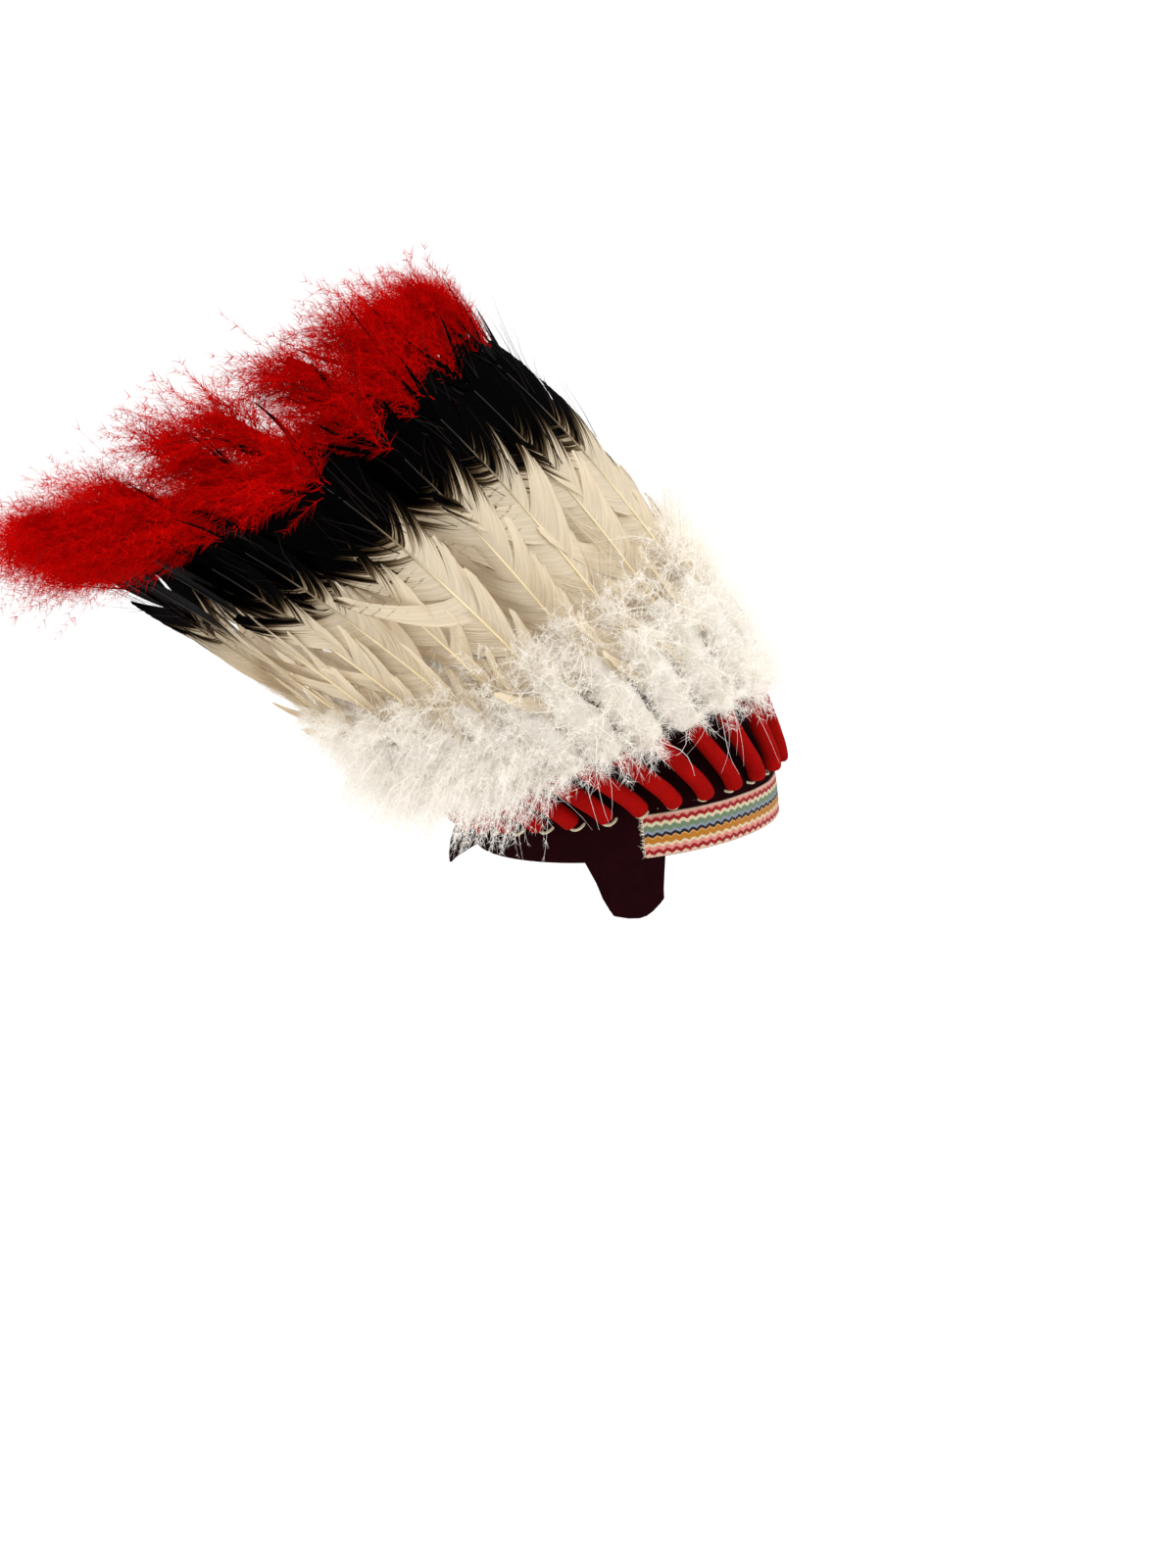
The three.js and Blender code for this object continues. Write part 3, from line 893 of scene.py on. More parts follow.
def tuft(builder, line, rng, slot, at, rear, out, aim, length, width, **more):
    """Strands given in the feather's own directions: along, to the rear and outwards.

    bend is in the same directions; fall is a bend towards the ground; tone is how
    light each strand is; rows and curl are for the ribbon's shape; each is how many
    barbules a strand has, and fuzz is their length.
    """
    point, along, across, outwards = line.frame_at(WRAP_LENGTH + at)
    axes = np.stack([along, across, outwards], 1)
    root = point + across * rear[:, None] + outwards * out[:, None]
    drop = np.array(more.get("drop", (0, 0.35, -1.0)))
    direction = unit(
        np.einsum("nk,nkc->nc", aim, axes) + drop * np.reshape(more.get("hang", 0), (-1, 1))
    )
    swing = np.einsum("nk,nkc->nc", more["bend"], axes)
    swing = swing + drop * np.reshape(more.get("fall", 0), (-1, 1))
    made = strands(
        rng, root, direction, length, swing, outwards, width, more.get("rows", 4),
        more.get("curl", 0),
    )
    made = inside(made)
    tone = more.get("tone", rng.random(len(root)))
    t = np.linspace(0, 1, made.shape[1])[None, :, None]
    barb = np.stack(np.broadcast_arrays(0.0, t, tone[:, None, None]), -1)
    builder.grid(made, slot, np.broadcast_to(barb, (*made.shape[:3], 3)))
    if "each" in more:
        fuzz, pick = barbules(rng, made, more["each"], more["fuzz"], 0.5)
        fuzz = inside(fuzz[:, :, None])[:, :, 0]
        light = np.clip(tone[pick] + rng.normal(0, 0.15, len(pick)), 0, 1)[:, None]
        barb = np.stack(np.broadcast_arrays(0.0, np.array([[0.4, 0.4, 1.0]]), light), -1)
        builder.fins(fuzz, slot, barb)


def cloud(builder, line, rng, slot, at, side, outward, inward):
    """A lumpy closed form round the quill, which keeps the fluff from being seen through."""
    turn = np.linspace(0, 2 * math.pi, 12, endpoint=False)
    lumps = 1 + rng.normal(0, 0.12, (len(at), 12))
    rear = side[:, None] * np.cos(turn) * lumps
    out = np.where(np.sin(turn) > 0, outward[:, None], inward[:, None]) * np.sin(turn) * lumps
    reach = WRAP_LENGTH + at[:, None] + 0 * rear
    barb = np.zeros((1, *rear.shape, 3)) + [0, 0.3, rng.uniform(0.3, 0.7)]
    builder.grid(line.place(reach, rear, out)[None], slot, barb, closed=True)


def down(builder, line, rng, props):
    """White marabou round the foot of a feather, in locks that fan outwards."""
    reach = float(stance("down", line.arc))
    low = np.interp(line.rank, [0.55, 0.7], [0, 1])
    extent = np.interp(line.rank, [0, 0.2, 0.35, 1], [118, 106, 84, 80])
    at = np.linspace(3 - 3 * low, extent * 0.8, 13)
    swell = np.sin(np.linspace(0.16, 1, 13) * math.pi * 0.94) ** 0.5
    cloud(builder, line, rng, DOWN, at, 11 * swell, 0.24 * reach * swell, 5 * swell)

    locks = 44
    lock_at = 3 - 7 * low + (extent - 3) * rng.uniform(0, 1, locks) ** 1.35
    share = lock_at / extent
    rise = np.radians(
        np.interp(share, [0, 0.2, 0.55, 1], [8 - 40 * low, 20 - 15 * low, 42, 64])
    )
    rise = rise + rng.normal(0, 0.26, locks)
    lean = rng.normal(0, 0.75, locks)
    lock_aim = np.stack([np.sin(rise), np.sin(lean), np.cos(rise) * np.cos(lean)], -1)
    size = reach * np.interp(share, [0, 0.2, 0.55, 1], [0.62, 0.95, 1.1, 0.8])
    size = size * rng.uniform(0.75, 1.05, locks)
    tone = rng.random(locks)
    count = props.down_strands
    pick = rng.integers(0, locks, count)
    length = size[pick] * rng.uniform(0.35, 1.0, count)
    tuft(
        builder, line, rng, DOWN, lock_at[pick] + rng.normal(0, 3.5, count),
        rng.normal(0, 4, count), rng.normal(1.5, 2, count),
        lock_aim[pick] + rng.normal(0, 0.26, (count, 3)), length,
        rng.uniform(0.35, 0.55, count), bend=rng.normal(0, 0.2, (count, 3)),
        fall=0.1 + 0.12 * low, curl=3.0, rows=6,
        tone=np.clip(tone[pick] + rng.normal(0, 0.2, count), 0, 1), each=14, fuzz=11.0,
    )
    # Longer single threads curl over the mass.
    few = 44
    tuft(
        builder, line, rng, DOWN, rng.uniform(4, extent, few), rng.normal(0, 3, few),
        rng.uniform(2, 10, few),
        np.stack(
            [rng.normal(0.3, 0.6, few), rng.normal(0, 0.9, few), rng.uniform(0.5, 1, few)], -1
        ),
        reach * rng.uniform(0.6, 1.0, few), rng.uniform(0.4, 0.65, few),
        bend=rng.normal(0, 0.35, (few, 3)), fall=rng.uniform(0.1, 0.4, few), curl=4.5, rows=9,
        tone=rng.uniform(0.9, 1, few),
    )
    # Short strands point towards the head, behind the vane.
    few = count // 4
    tuft(
        builder, line, rng, DOWN, rng.uniform(0, 70, few), rng.normal(0, 3, few),
        np.full(few, -1.0),
        np.stack([rng.normal(0.5, 0.5, few), rng.normal(0, 0.8, few), -np.ones(few)], -1),
        rng.uniform(7, 17, few), np.full(few, 0.4), bend=rng.normal(0, 0.25, (few, 3)),
        curl=1.0, each=5, fuzz=6.0,
    )
    # Towards the back the down hangs over the wraps.
    few = int(count * 0.5 * low)
    if few:
        tuft(
            builder, line, rng, DOWN, rng.uniform(-6, 44, few), rng.normal(0, 5, few),
            rng.uniform(0, 10, few),
            np.stack(
                [rng.normal(0, 0.3, few), rng.normal(0, 0.35, few), rng.uniform(0.3, 0.9, few)],
                -1,
            ),
            rng.uniform(20, 38, few), rng.uniform(0.3, 0.45, few),
            bend=rng.normal(0, 0.15, (few, 3)), hang=0.75, fall=0.3, curl=2.0, rows=6, each=9,
            fuzz=7.5,
        )


def loose_barbs(builder, line, rng):
    """Barbs of the lower vane that have come apart, side by side as in a comb."""
    free = line.free
    for side in (-1, 1):
        for _ in range(2):
            count = 20
            first = rng.uniform(0.06, 0.36) * free
            at = first + np.arange(count) * 1.4
            swing = rng.normal(0, 0.3)
            aim = (
                np.stack(
                    [
                        np.full(count, rng.uniform(0.6, 1.1)), np.full(count, side * 1.0),
                        np.full(count, rng.uniform(0.0, 0.3)),
                    ],
                    -1,
                )
                + rng.normal(0, 0.035, (count, 3))
            )
            bend = np.stack(
                [
                    np.full(count, rng.uniform(0, 0.6)), np.full(count, -0.15 * side + swing),
                    np.full(count, rng.normal(-0.05, 0.12)),
                ],
                -1,
            )
            tuft(
                builder, line, rng, FREED, at, np.full(count, side * 0.8), np.full(count, 1.0),
                aim, rng.uniform(18, 34) * rng.uniform(0.9, 1.05, count),
                rng.uniform(0.4, 0.8, count), bend=bend, rows=6, curl=0.8,
                tone=np.clip(rng.normal(0.7, 0.25, count), 0, 1),
            )


def dark_barbs(builder, line, rng):
    """Long brown-black barbs that lie over the dark vane, and a stiff hair or two."""
    free = line.free
    foot = shares(PLUME_FOOT, line.rank) * free
    count = 16
    side = rng.choice([-1, 1], count)
    aim = np.stack(
        [np.ones(count), side * rng.uniform(-0.1, 0.6, count), rng.uniform(0.0, 0.15, count)],
        -1,
    )
    tuft(
        builder, line, rng, HAIR, rng.uniform(0.55 * free, foot - 5, count),
        side * rng.uniform(0, 12, count), rng.uniform(0.6, 1.6, count), aim,
        rng.uniform(18, 46, count), rng.uniform(0.4, 0.9, count),
        bend=rng.normal(0, 0.15, (count, 3)), rows=6, curl=1.5,
    )
    hairs = int(rng.integers(0, 3))
    if hairs:
        t = np.linspace(0, 1, 16)
        for _ in range(hairs):
            length, droop = rng.uniform(62, 92), rng.uniform(30, 52)
            at = foot - 6 + length * np.sin(t * 1.5) / 1.5 * 1.2
            point, along, _, out = line.frame_at(WRAP_LENGTH + at)
            path = point + out * (3 + 5 * np.sin(t * math.pi))[:, None]
            path = path + np.array([0, 0.45, -0.9]) * (droop * t**2.2)[:, None]
            path = path + line.across[-1] * (rng.normal(0, 9) * t**1.5)[:, None]
            builder.grid(inside(tube(path, 0.26 - 0.16 * t, out, 4)), HAIR, closed=True)


def plume(builder, line, rng, props):
    """The dyed marabou tip: a short shaft with soft barbs that fall backwards."""
    free = line.free
    foot = shares(PLUME_FOOT, line.rank) * free - np.interp(line.rank, [0, 0.3], [6, 22])
    top = shares(PLUME_TOP, line.rank) * free
    at = np.linspace(foot + 12, top, 9)
    swell = np.sin(np.linspace(0.12, 1, 9) * math.pi * 0.95) ** 0.6
    cloud(builder, line, rng, PLUME, at, 6 * swell, 2 * swell, 2 * swell)
    # A first layer of short strands covers the middle, on both sides of the shaft.
    few = 90
    tuft(
        builder, line, rng, PLUME, rng.uniform(foot + 6, top, few), rng.uniform(-9, 12, few),
        rng.uniform(-2, 3, few),
        np.stack([np.ones(few), rng.normal(0, 0.7, few), rng.normal(0.2, 0.4, few)], -1),
        rng.uniform(12, 22, few), np.full(few, 0.6), bend=rng.normal(0, 0.2, (few, 3)), rows=4,
        each=10, fuzz=11.0,
    )
    count, locks = props.plume_strands, 34
    lock_at = foot + (top - foot) * rng.uniform(0, 1, locks) ** 0.8
    lock_side = rng.choice([-1, 1, 1], locks) * rng.uniform(0.1, 1.9, locks)
    lock_aim = np.stack([np.ones(locks), lock_side, rng.normal(0.25, 0.45, locks)], -1)
    tone = rng.random(locks)
    pick = rng.integers(0, locks, count)
    length = rng.uniform(24, 46, count) * np.interp(lock_at[pick], [foot, top], [0.95, 0.75])
    bend = np.stack(
        [
            rng.normal(0.1, 0.12, count), -0.2 * lock_side[pick] + rng.normal(0, 0.15, count),
            rng.normal(0, 0.15, count),
        ],
        -1,
    )
    tuft(
        builder, line, rng, PLUME, lock_at[pick] + rng.normal(0, 3, count),
        rng.normal(2, 4, count), rng.normal(1.5, 2.0, count),
        lock_aim[pick] + rng.normal(0, 0.2, (count, 3)), length, rng.uniform(0.3, 0.5, count),
        bend=bend, fall=rng.uniform(0.1, 0.65, count), drop=(0, 0.75, -0.75), curl=1.6, rows=6,
        tone=np.clip(tone[pick] + rng.normal(0, 0.2, count), 0, 1), each=13, fuzz=11.5,
    )


def glue(builder, line, rng):
    """A small clear bead of glue at the plume's foot."""
    at = shares(PLUME_FOOT, line.rank) * line.free - rng.uniform(2, 6)
    turn = np.linspace(-1, 1, 7) * math.pi / 2
    size = rng.uniform(0.7, 1.3)
    reach = np.full(7, at) + size * 1.3 * np.sin(turn)
    point, _, _, out = line.frame_at(WRAP_LENGTH + reach)
    builder.grid(
        tube(point + out * 1.8, np.maximum(size * np.cos(turn), 0.05), out, 8), GLUE,
        closed=True,
    )


def feather(number, arc, props, materials):
    rng = np.random.default_rng(700 + number)
    step = abs(number - FEATHERS_PER_SIDE - 1)
    first, last, lean = next(bunch for bunch in BUNCHES if bunch[0] <= step <= bunch[1])
    sway = 0 if arc == 0 else lean + 3.5 * ((first + last) / 2 - step) + rng.normal(0, 1.5)
    line = Line(arc, sway, rng.normal(0, 2.5), rng.normal(0, 0.2))
    seed = rng.random()
    start = shares(DARK_START, line.rank) + rng.normal(0, 0.02)
    builder = Builder()
    vane(builder, line, rng, props, seed, start)
    slivers(builder, line, rng, seed, start)
    quill(builder, line, props, start)
    down(builder, line, rng, props)
    loose_barbs(builder, line, rng)
    dark_barbs(builder, line, rng)
    plume(builder, line, rng, props)
    glue(builder, line, rng)
    piece = builder.make(f"plumed_feather_{number:02d}", materials)
    dress(piece, "feather", f"feather_{number:02d}")


# ------------------------------------------------------------------ operators


class HEADDRESS_OT_stage(bpy.types.Operator):
    """Make the camera, the floor and the soft light"""

    bl_idname = "headdress.stage"
    bl_label = "Stage"

    def execute(self, context):
        props = context.scene.headdress_stage
        scene = context.scene
        scene.view_settings.view_transform = "Standard"
        turn, rise = props.camera_azimuth, props.camera_elevation
        camera = bpy.data.objects.new("camera", bpy.data.cameras.new("camera"))
        scene.collection.objects.link(camera)
        camera.data.lens = props.focal_length
        camera.data.clip_start = 0.02
        away = (
            -math.cos(turn) * math.cos(rise), math.sin(turn) * math.cos(rise), math.sin(rise),
        )
        camera.location = Vector(away) * props.camera_distance
        look = (Vector(props.camera_aim) - camera.location).to_track_quat("-Z", "Y")
        camera.rotation_mode = "QUATERNION"
        camera.rotation_quaternion = look @ Quaternion((0, 0, 1), -props.camera_roll)
        scene.camera = camera

        floor_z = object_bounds()[0].z - 0.27
        radius = 9.0
        floor = bpy.data.meshes.new("floor")
        square = ((-1, -1), (1, -1), (1, 1), (-1, 1))
        corners = [(x * radius, y * radius, floor_z) for x, y in square]
        floor.from_pydata(corners, [], [(0, 1, 2, 3)])
        floor = bpy.data.objects.new("floor", floor)
        scene.collection.objects.link(floor)
        made, _, shader = material("matt white paper", Roughness=0.9, Specular_IOR_Level=0.1)
        shader.inputs["Base Color"].default_value = rgba(props.backdrop)
        floor.data.materials.append(made)
        floor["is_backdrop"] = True

        world = bpy.data.worlds.new("white studio")
        scene.world = world
        world.use_nodes = True
        back = world.node_tree.nodes["Background"]
        back.inputs[0].default_value = (1, 1, 1, 1)
        back.inputs[1].default_value = 1.05
        for name, place, size, power in (
            ("key", (-1.5, -1.3, 1.7), 1.3, 20),
            ("top", (-0.2, 0.2, 2.2), 1.8, 10),
            ("left", (-1.4, 1.6, 0.7), 1.2, 5),
            ("far", (1.8, -0.4, 1.2), 1.4, 6),
        ):
            light = bpy.data.objects.new(name, bpy.data.lights.new(name, "AREA"))
            scene.collection.objects.link(light)
            light.location = place
            light.rotation_mode = "QUATERNION"
            light.rotation_quaternion = (Vector((0, 0.08, 0.14)) - light.location).to_track_quat(
                "-Z", "Y"
            )
            light.data.size = size
            light.data.energy = power
            light.visible_camera = False
        return {"FINISHED"}


class HEADDRESS_OT_feathers(bpy.types.Operator):
    """Make the feathers with their down and plumes"""

    bl_idname = "headdress.feathers"
    bl_label = "Feathers"

    def execute(self, context):
        props = context.scene.headdress_feathers
        materials = [
            vane_material(props),
            quill_material(props),
            # The fourth number is painted shade at the strand roots: none for the down, some for
            # the red plume and the ivory barbs.
            strand_material("white marabou down", props.down, 0.94, 1.0, 0.5),
            strand_material("red dyed marabou", props.plume, 0.6, 0.8, 0.35),
            plain_fibre("brown-black feather barb", linear("#0d0705"), 0.5),
            clear_glue(),
            strand_material("ivory feather barb", props.ivory, 0.75, 0.9, 0.35),
        ]
        for number in range(1, 2 * FEATHERS_PER_SIDE + 2):
            feather(
                number, (number - FEATHERS_PER_SIDE - 1) * FEATHER_SPACING, props, materials
            )
        return {"FINISHED"}


class HEADDRESS_OT_wraps(bpy.types.Operator):
    """Make the red felt rolls round the quills"""

    bl_idname = "headdress.wraps"
    bl_label = "Quill wraps"

    def execute(self, context):
        props = context.scene.headdress_cap
        felt = felt_material("red wool felt", props.wrap_colour, 0.0007, 0.25)
        for number in range(1, 2 * FEATHERS_PER_SIDE + 2):
            rng = np.random.default_rng(300 + number)
            line = Line((number - FEATHERS_PER_SIDE - 1) * FEATHER_SPACING)
            at = np.concatenate(
                [
                    [0, 0, 0.4, 1.2, 2.4], np.linspace(4, WRAP_LENGTH - 1, 26),
                    [WRAP_LENGTH, WRAP_LENGTH, WRAP_LENGTH - 6],
                ],
            )
            shape = np.concatenate(
                [[0.02, 0.45, 0.72, 0.88, 0.97], np.linspace(1, 0.95, 26), [0.86, 0.35, 0.33]]
            )
            point, _, across, out = line.frame_at(at)
            turn = np.linspace(0, 2 * math.pi, 28, endpoint=False)
            lap = 0.07 * np.exp(-(((turn - 1.1) / 0.5) ** 2)) * (turn > 1.1)
            wobble = (
                1
                + (
                    0.02
                    * np.sin(at / 7 + rng.uniform(0, 6))[:, None]
                    * np.sin(2 * turn + rng.uniform(0, 6))
                )
            )
            radius = props.wrap_radius / MM * shape[:, None] * (wobble + lap)
            ring = (
                across[:, None] * np.cos(turn)[None, :, None]
                + out[:, None] * np.sin(turn)[None, :, None]
            )
            builder = Builder()
            builder.grid((point[:, None] + ring * radius[..., None])[None], 0, closed=True)
            piece = builder.make(f"felt_roll_{number:02d}", [felt])
            dress(piece, "red_felt", f"quill_wrap_{number:02d}")
        return {"FINISHED"}


def stand_off(arc, z):
    """How far the felt stands off its plain outline, in mm: out at the tab, in at a flap."""
    back = np.abs(arc) - HALF_RIM
    flare = np.interp(back, NAPE_TAB["along"], NAPE_TAB["flare"], left=0)
    drop = np.clip((TAB_TOP - z) / (TAB_TOP - NAPE_TAB["z"][-1]), 0, 1)
    return (
        TAB_FLARE * flare * np.sin(drop * math.pi / 2)
        + np.minimum(z, 0) * FLAP_TUCK * (flare == 0)
    )


class HEADDRESS_OT_cap(bpy.types.Operator):
    """Make the felt cap with its ear flaps and nape tab"""

    bl_idname = "headdress.cap"
    bl_label = "Felt cap"

    def execute(self, context):
        props = context.scene.headdress_cap
        special = [FLAP_MIDDLE + a for a in EAR_FLAP["along"]]
        half = np.unique(np.concatenate([np.linspace(0, HALF_RIM, 120), special]))
        arcs = np.concatenate([-half[1:-1][::-1], half])
        low = np.interp(np.abs(arcs) - FLAP_MIDDLE, EAR_FLAP["along"], EAR_FLAP["z"])
        back = np.abs(arcs) - HALF_RIM
        low = np.where(
            back > NAPE_TAB["along"][0], np.interp(back, NAPE_TAB["along"], NAPE_TAB["z"]), low
        )
        share = np.linspace(0, 1, 44)
        rise = np.sin(share * math.pi / 2) ** 1.15
        z = low[None, :] + (CAP_CROWN_HEIGHT - 0.05 - low)[None, :] * rise[:, None]
        arc = np.broadcast_to(arcs, z.shape)
        outer = cap_point(arc, z) + rim_normal(arc) * stand_off(arc, z)[..., None]
        around = np.roll(outer, -1, 1) - np.roll(outer, 1, 1)
        normal = unit(np.cross(around, np.gradient(outer, axis=0)))
        inner = outer - normal * props.felt / MM
        inner[..., 2] = np.minimum(inner[..., 2], CAP_CROWN_HEIGHT - props.felt / MM)
        edge = (outer[0] + inner[0]) / 2 - [0, 0, 0.4]
        shell = np.concatenate([inner[::-1], edge[None], outer])
        builder = Builder()
        builder.grid(shell[None], 0, closed=True)
        felt = felt_material("dark maroon wool felt", props.felt_colour, 0.0008, 0.12)
        piece = builder.make("felt_skull_cap", [felt])
        dress(piece, "maroon_felt", "felt_cap")
        return {"FINISHED"}


# The ribbon's woven rows, in mm: the height of a row's middle, half its thickness,
# and how far its zigzag swings. A row covers those before it.
RIBBON_ROWS = [
    (0.6, 1.1, 0.0, "#dcb9a2"),
    (5.4, 1.3, 0.9, "#dd8a7e"),
    (3.1, 1.25, 0.9, "#98121a"),
    (10.2, 1.8, 0.8, "#b7751f"),
    (12.2, 0.35, 0.9, "#e0a566"),
    (15.3, 1.1, 0.9, "#8c94a6"),
    (13.5, 1.0, 0.9, "#16121c"),
    (17.7, 1.6, 0.9, "#6e8468"),
    (24.4, 1.2, 0.6, "#dd8a7e"),
    (22.7, 1.25, 0.8, "#98121a"),
    (26.0, 0.7, 0.0, "#dcb9a2"),
]
RIBBON_PITCH = 5.6
STITCH = 0.7


def ribbon_material():
    # Jacquard ribbon: rows of coloured zigzags woven in soft yarn on a cream ground.
    made, tree, shader = material(
        "woven jacquard ribbon", Roughness=0.85, Specular_IOR_Level=0.1, Sheen_Weight=0.1
    )
    along, across, _ = node(
        tree, "SeparateXYZ",
        {0: node(tree, "Attribute", {}, out="Vector", attribute_name="barb")}, out=slice(0, 3),
    )
    where = node(tree, "CombineXYZ", {0: along, 1: across})
    fuzz = node(tree, "TexNoise", {"Vector": where, "Scale": 1.6, "Detail": 3.0})
    # The zigzags step from stitch to stitch, and each stitch is a little uneven.
    stitch = node(tree, "Math", {0: along, 1: STITCH}, operation="SNAP")
    uneven = node(tree, "TexWhiteNoise", {"W": stitch}, out="Value", noise_dimensions="1D")
    height = node(
        tree, "Math",
        {0: across, 1: node(tree, "MapRange", {0: uneven, 1: 0, 2: 1, 3: -0.22, 4: 0.22})},
        operation="ADD",
    )
    height = node(
        tree, "Math",
        {0: height, 1: node(tree, "MapRange", {0: fuzz, 1: 0.3, 2: 0.7, 3: -0.3, 4: 0.3})},
        operation="ADD",
    )
    zigzag = node(
        tree, "MapRange",
        {
            0: node(tree, "Math", {0: stitch, 1: RIBBON_PITCH / 2}, operation="PINGPONG"),
            1: 0,
            2: RIBBON_PITCH / 2,
            3: -1,
            4: 1,
        },
    )
    now = node(
        tree, "Mix", {0: fuzz, 6: rgba(linear("#cdb98c")), 7: rgba(linear("#eadfc2"))}, out=2,
        data_type="RGBA",
    )
    for middle, half, swing, code in RIBBON_ROWS:
        centre = node(tree, "Math", {0: zigzag, 1: swing, 2: middle}, operation="MULTIPLY_ADD")
        away = node(
            tree, "Math", {0: node(tree, "Math", {0: height, 1: centre}, operation="SUBTRACT")},
            operation="ABSOLUTE",
        )
        now = node(
            tree, "Mix",
            {
                0: node(tree, "MapRange", {0: away, 1: half - 0.1, 2: half + 0.1, 3: 1, 4: 0}),
                6: now,
                7: rgba(linear(code)),
            },
            out=2, data_type="RGBA",
        )
    # Stitches stand out as small beads, about as wide as a stitch, and the colour gets a painted
    # shade between the beads, in the hollows of the weave.
    bead = node(
        tree, "Math",
        {
            0: node(
                tree, "Math",
                {0: node(tree, "Math", {0: along, 1: math.pi / STITCH}, operation="MULTIPLY")},
                operation="SINE",
            ),
        },
        operation="ABSOLUTE",
    )
    pick = node(
        tree, "Math",
        {
            0: node(
                tree, "Math",
                {0: node(tree, "Math", {0: across, 1: math.pi / 0.9}, operation="MULTIPLY")},
                operation="SINE",
            ),
        },
        operation="ABSOLUTE",
    )
    relief_and_painted_shade = node(tree, "Math", {0: bead, 1: pick}, operation="MULTIPLY")
    # Painted shade: the colour darkens where the stitch relief is low, between the beads.
    shade = node(
        tree, "Math",
        {
            0: node(tree, "MapRange", {0: relief_and_painted_shade, 1: 0, 2: 0.6, 3: 0.62, 4: 1.06}),
            1: node(tree, "MapRange", {0: fuzz, 1: 0.3, 2: 0.7, 3: 0.85, 4: 1.12}),
        },
        operation="MULTIPLY",
    )
    tree.links.new(
        node(
            tree, "Mix", {0: 1.0, 6: now, 7: shade}, out=2, data_type="RGBA",
            blend_type="MULTIPLY",
        ),
        shader.inputs["Base Color"],
    )
    bump = node(tree, "Bump", {"Height": relief_and_painted_shade, "Strength": 0.7, "Distance": 0.0005})
    tree.links.new(bump, shader.inputs["Normal"])
    return made


class HEADDRESS_OT_trim(bpy.types.Operator):
    """Make the woven ribbon round the brow"""

    bl_idname = "headdress.trim"
    bl_label = "Woven trim"

    def execute(self, context):
        props = context.scene.headdress_cap
        height = props.trim_height / MM
        rng = np.random.default_rng(41)
        arcs = np.linspace(-TRIM_END, TRIM_END, 420)
        section = np.array(
            [
                (0.3, 0.0), (1.15, 0.1), (1.35, 0.8), (1.2, 3), (1.3, 8), (1.3, 13), (1.3, 18),
                (1.2, 23), (1.35, 25.7), (1.15, 26.4), (0.3, 26.5),
            ],
        )
        rise = np.append(section[:, 1], 13.0) * height / 26.5
        off = np.append(section[:, 0], 0.3)
        scallop = 0.25 * np.sin(arcs * 2 * math.pi / 2.0)
        edge = (
            np.isin(np.arange(len(rise)), [0, 1, 2]) * -1.0
            + np.isin(np.arange(len(rise)), [8, 9, 10]) * 1.0
        )
        z = TRIM_BOTTOM + rise[None] + edge[None] * scallop[:, None]
        arc = np.broadcast_to(arcs[:, None], z.shape)
        swell = 0.12 * np.sin(arcs / 9.0) + 0.08 * np.sin(arcs / 3.7)
        points = (
            cap_point(arc, z)
            + rim_normal(arc) * (off[None] + np.maximum(swell, -0.1)[:, None])[..., None]
        )
        barb = np.stack([arc, np.broadcast_to(rise * 26.5 / height, z.shape), 0 * z], -1)
        builder = Builder()
        builder.grid(points[None], 0, barb[None], closed=True)
        for end in (-1, 1):
            count = 90
            start = cap_point(np.full(count, end * TRIM_END), rng.uniform(0.5, 26.5, count))
            normal = rim_normal(np.full(count, end * float(TRIM_END)))
            along = np.cross([0, 0, 1], normal) * end
            aim = unit(along + rng.normal(0, 0.35, (count, 3)))
            threads = strands(
                rng, start + normal * rng.uniform(0.4, 1.3, (count, 1)), aim,
                rng.uniform(0.8, 3.2, count), rng.normal(0, 0.3, (count, 3)), normal,
                np.full(count, 0.35), 4, 0.4,
            )
            builder.grid(threads, 1)
        yarn = plain_fibre("cream cotton yarn", linear("#e6d6bd"), 0.9)
        piece = builder.make("woven_trim", [ribbon_material(), yarn])
        dress(piece, "woven_trim", "trim_band")
        return {"FINISHED"}


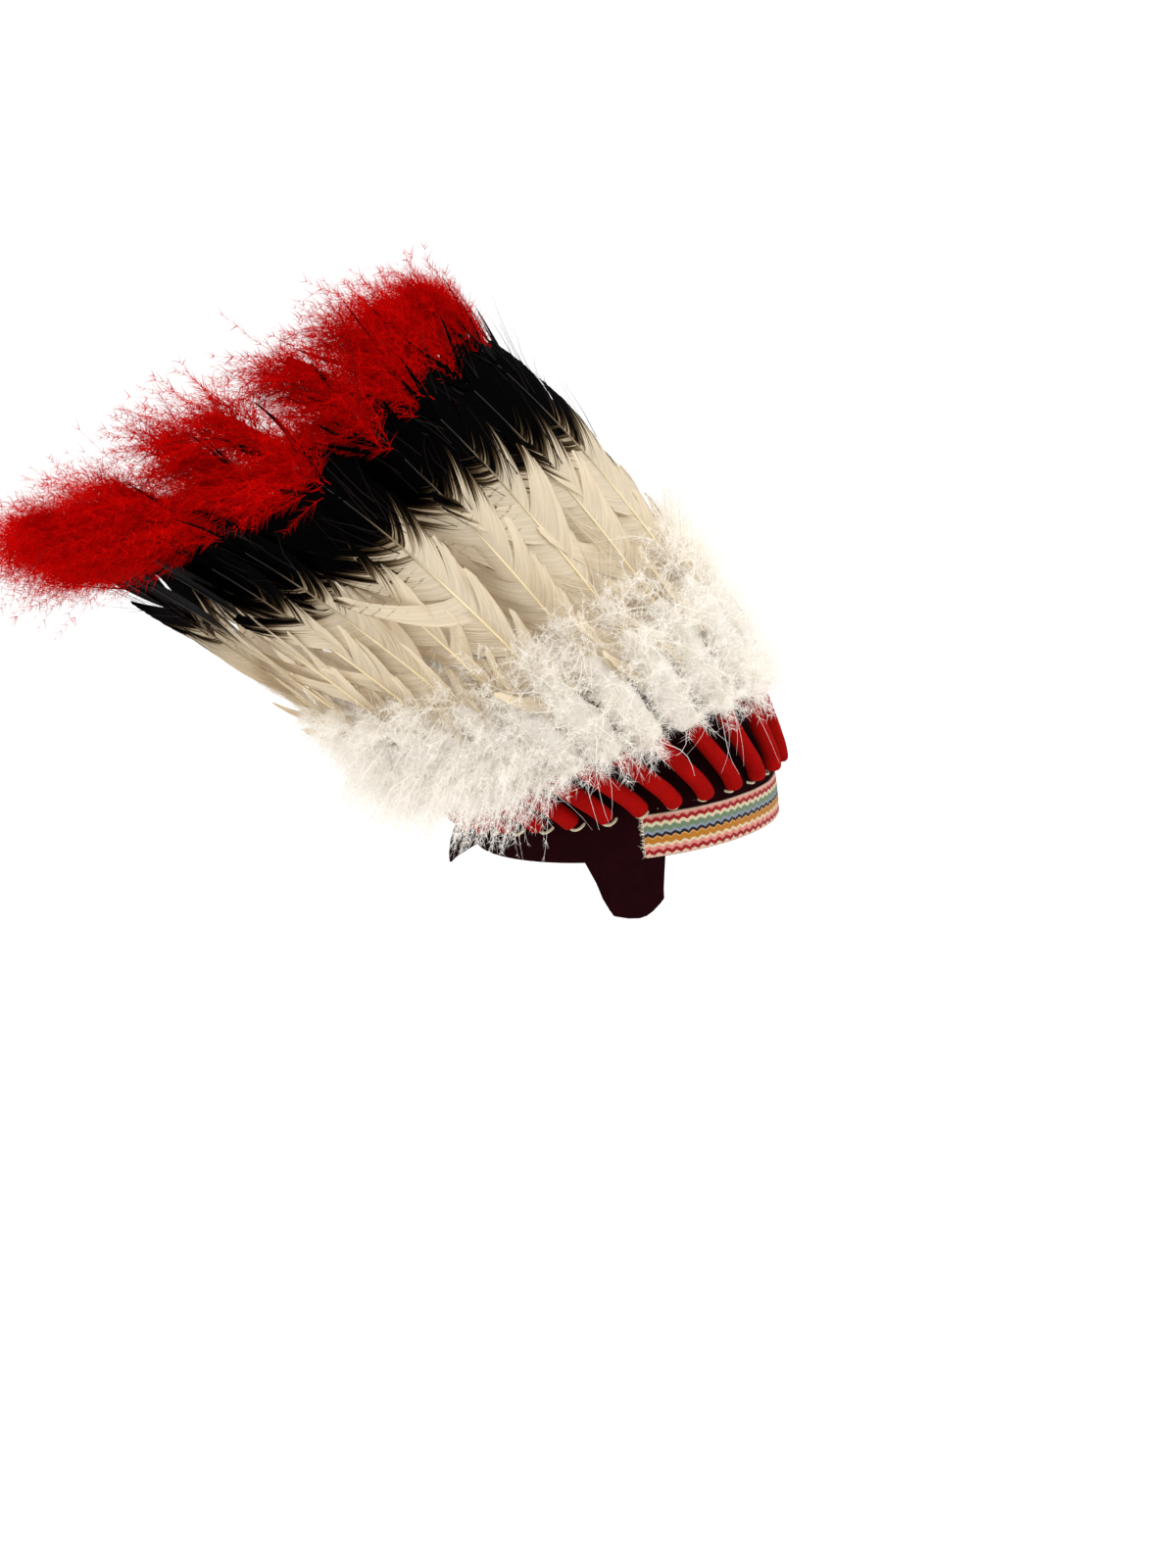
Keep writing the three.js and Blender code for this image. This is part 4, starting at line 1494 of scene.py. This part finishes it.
class HEADDRESS_OT_lace(bpy.types.Operator):
    """Make the cotton lace under the wraps"""

    bl_idname = "headdress.lace"
    bl_label = "Lace"

    def execute(self, context):
        props = context.scene.headdress_cap
        radius = props.lace_radius / MM
        arcs = np.linspace(-LACE_END, LACE_END, 1000)
        # It runs inside the felt, and comes out in a short loop at the foot of each wrap.
        from_wrap = np.abs((arcs + FEATHER_SPACING / 2) % FEATHER_SPACING - FEATHER_SPACING / 2)
        loop = np.interp(np.abs(arcs), [110, 160], [3.2, 5.2])
        show = np.cos(np.clip(from_wrap / loop, 0, 1) * math.pi / 2) ** 0.7
        z = (
            stance("base", arcs)
            - LACE_DROP
            - show * np.interp(np.abs(arcs), [110, 160], [1.0, 3.0])
        )
        path = cap_point(arcs, z) + rim_normal(arcs) * (-1.0 + 3.0 * show)[:, None]
        builder = Builder()
        made = tube(path, radius, np.broadcast_to([0, 0, 1.0], path.shape), 7)
        turn = np.linspace(0, 1, 7)[None, None, :]
        barb = np.stack(np.broadcast_arrays(arcs[None, :, None], turn, 0.0), -1)
        builder.grid(made, 0, barb, closed=True)
        piece = builder.make(
            "cotton_lace", [plain_fibre("cream cotton lace", props.lace_colour, 0.9)]
        )
        dress(piece, "cotton_lace", "lacing_cord")
        return {"FINISHED"}


class HEADDRESS_PT_panel(bpy.types.Panel):
    """The headdress's pieces, in the order in which they are made"""

    bl_label = "Headdress"
    bl_space_type = "VIEW_3D"
    bl_region_type = "UI"
    bl_category = "Headdress"

    def draw(self, context):
        for operator in OPERATORS:
            self.layout.operator(operator.bl_idname)
        for name in GROUPS:
            group = getattr(context.scene, name)
            for key in group.__annotations__:
                self.layout.prop(group, key)


GROUPS = {
    "headdress_stage": HEADDRESS_PG_stage,
    "headdress_cap": HEADDRESS_PG_cap,
    "headdress_feathers": HEADDRESS_PG_feathers,
}
OPERATORS = (
    HEADDRESS_OT_stage,
    HEADDRESS_OT_cap,
    HEADDRESS_OT_trim,
    HEADDRESS_OT_lace,
    HEADDRESS_OT_wraps,
    HEADDRESS_OT_feathers,
)


def register():
    for group in GROUPS.values():
        bpy.utils.register_class(group)
    for name, group in GROUPS.items():
        setattr(bpy.types.Scene, name, PointerProperty(type=group))
    for operator in OPERATORS:
        bpy.utils.register_class(operator)
    bpy.utils.register_class(HEADDRESS_PT_panel)


def unregister():
    bpy.utils.unregister_class(HEADDRESS_PT_panel)
    for operator in reversed(OPERATORS):
        bpy.utils.unregister_class(operator)
    for name in GROUPS:
        delattr(bpy.types.Scene, name)
    for group in GROUPS.values():
        bpy.utils.unregister_class(group)


def main():
    register()
    for operator in OPERATORS:
        area, name = operator.bl_idname.split(".")
        getattr(getattr(bpy.ops, area), name)()


if __name__ == "__main__":
    main()
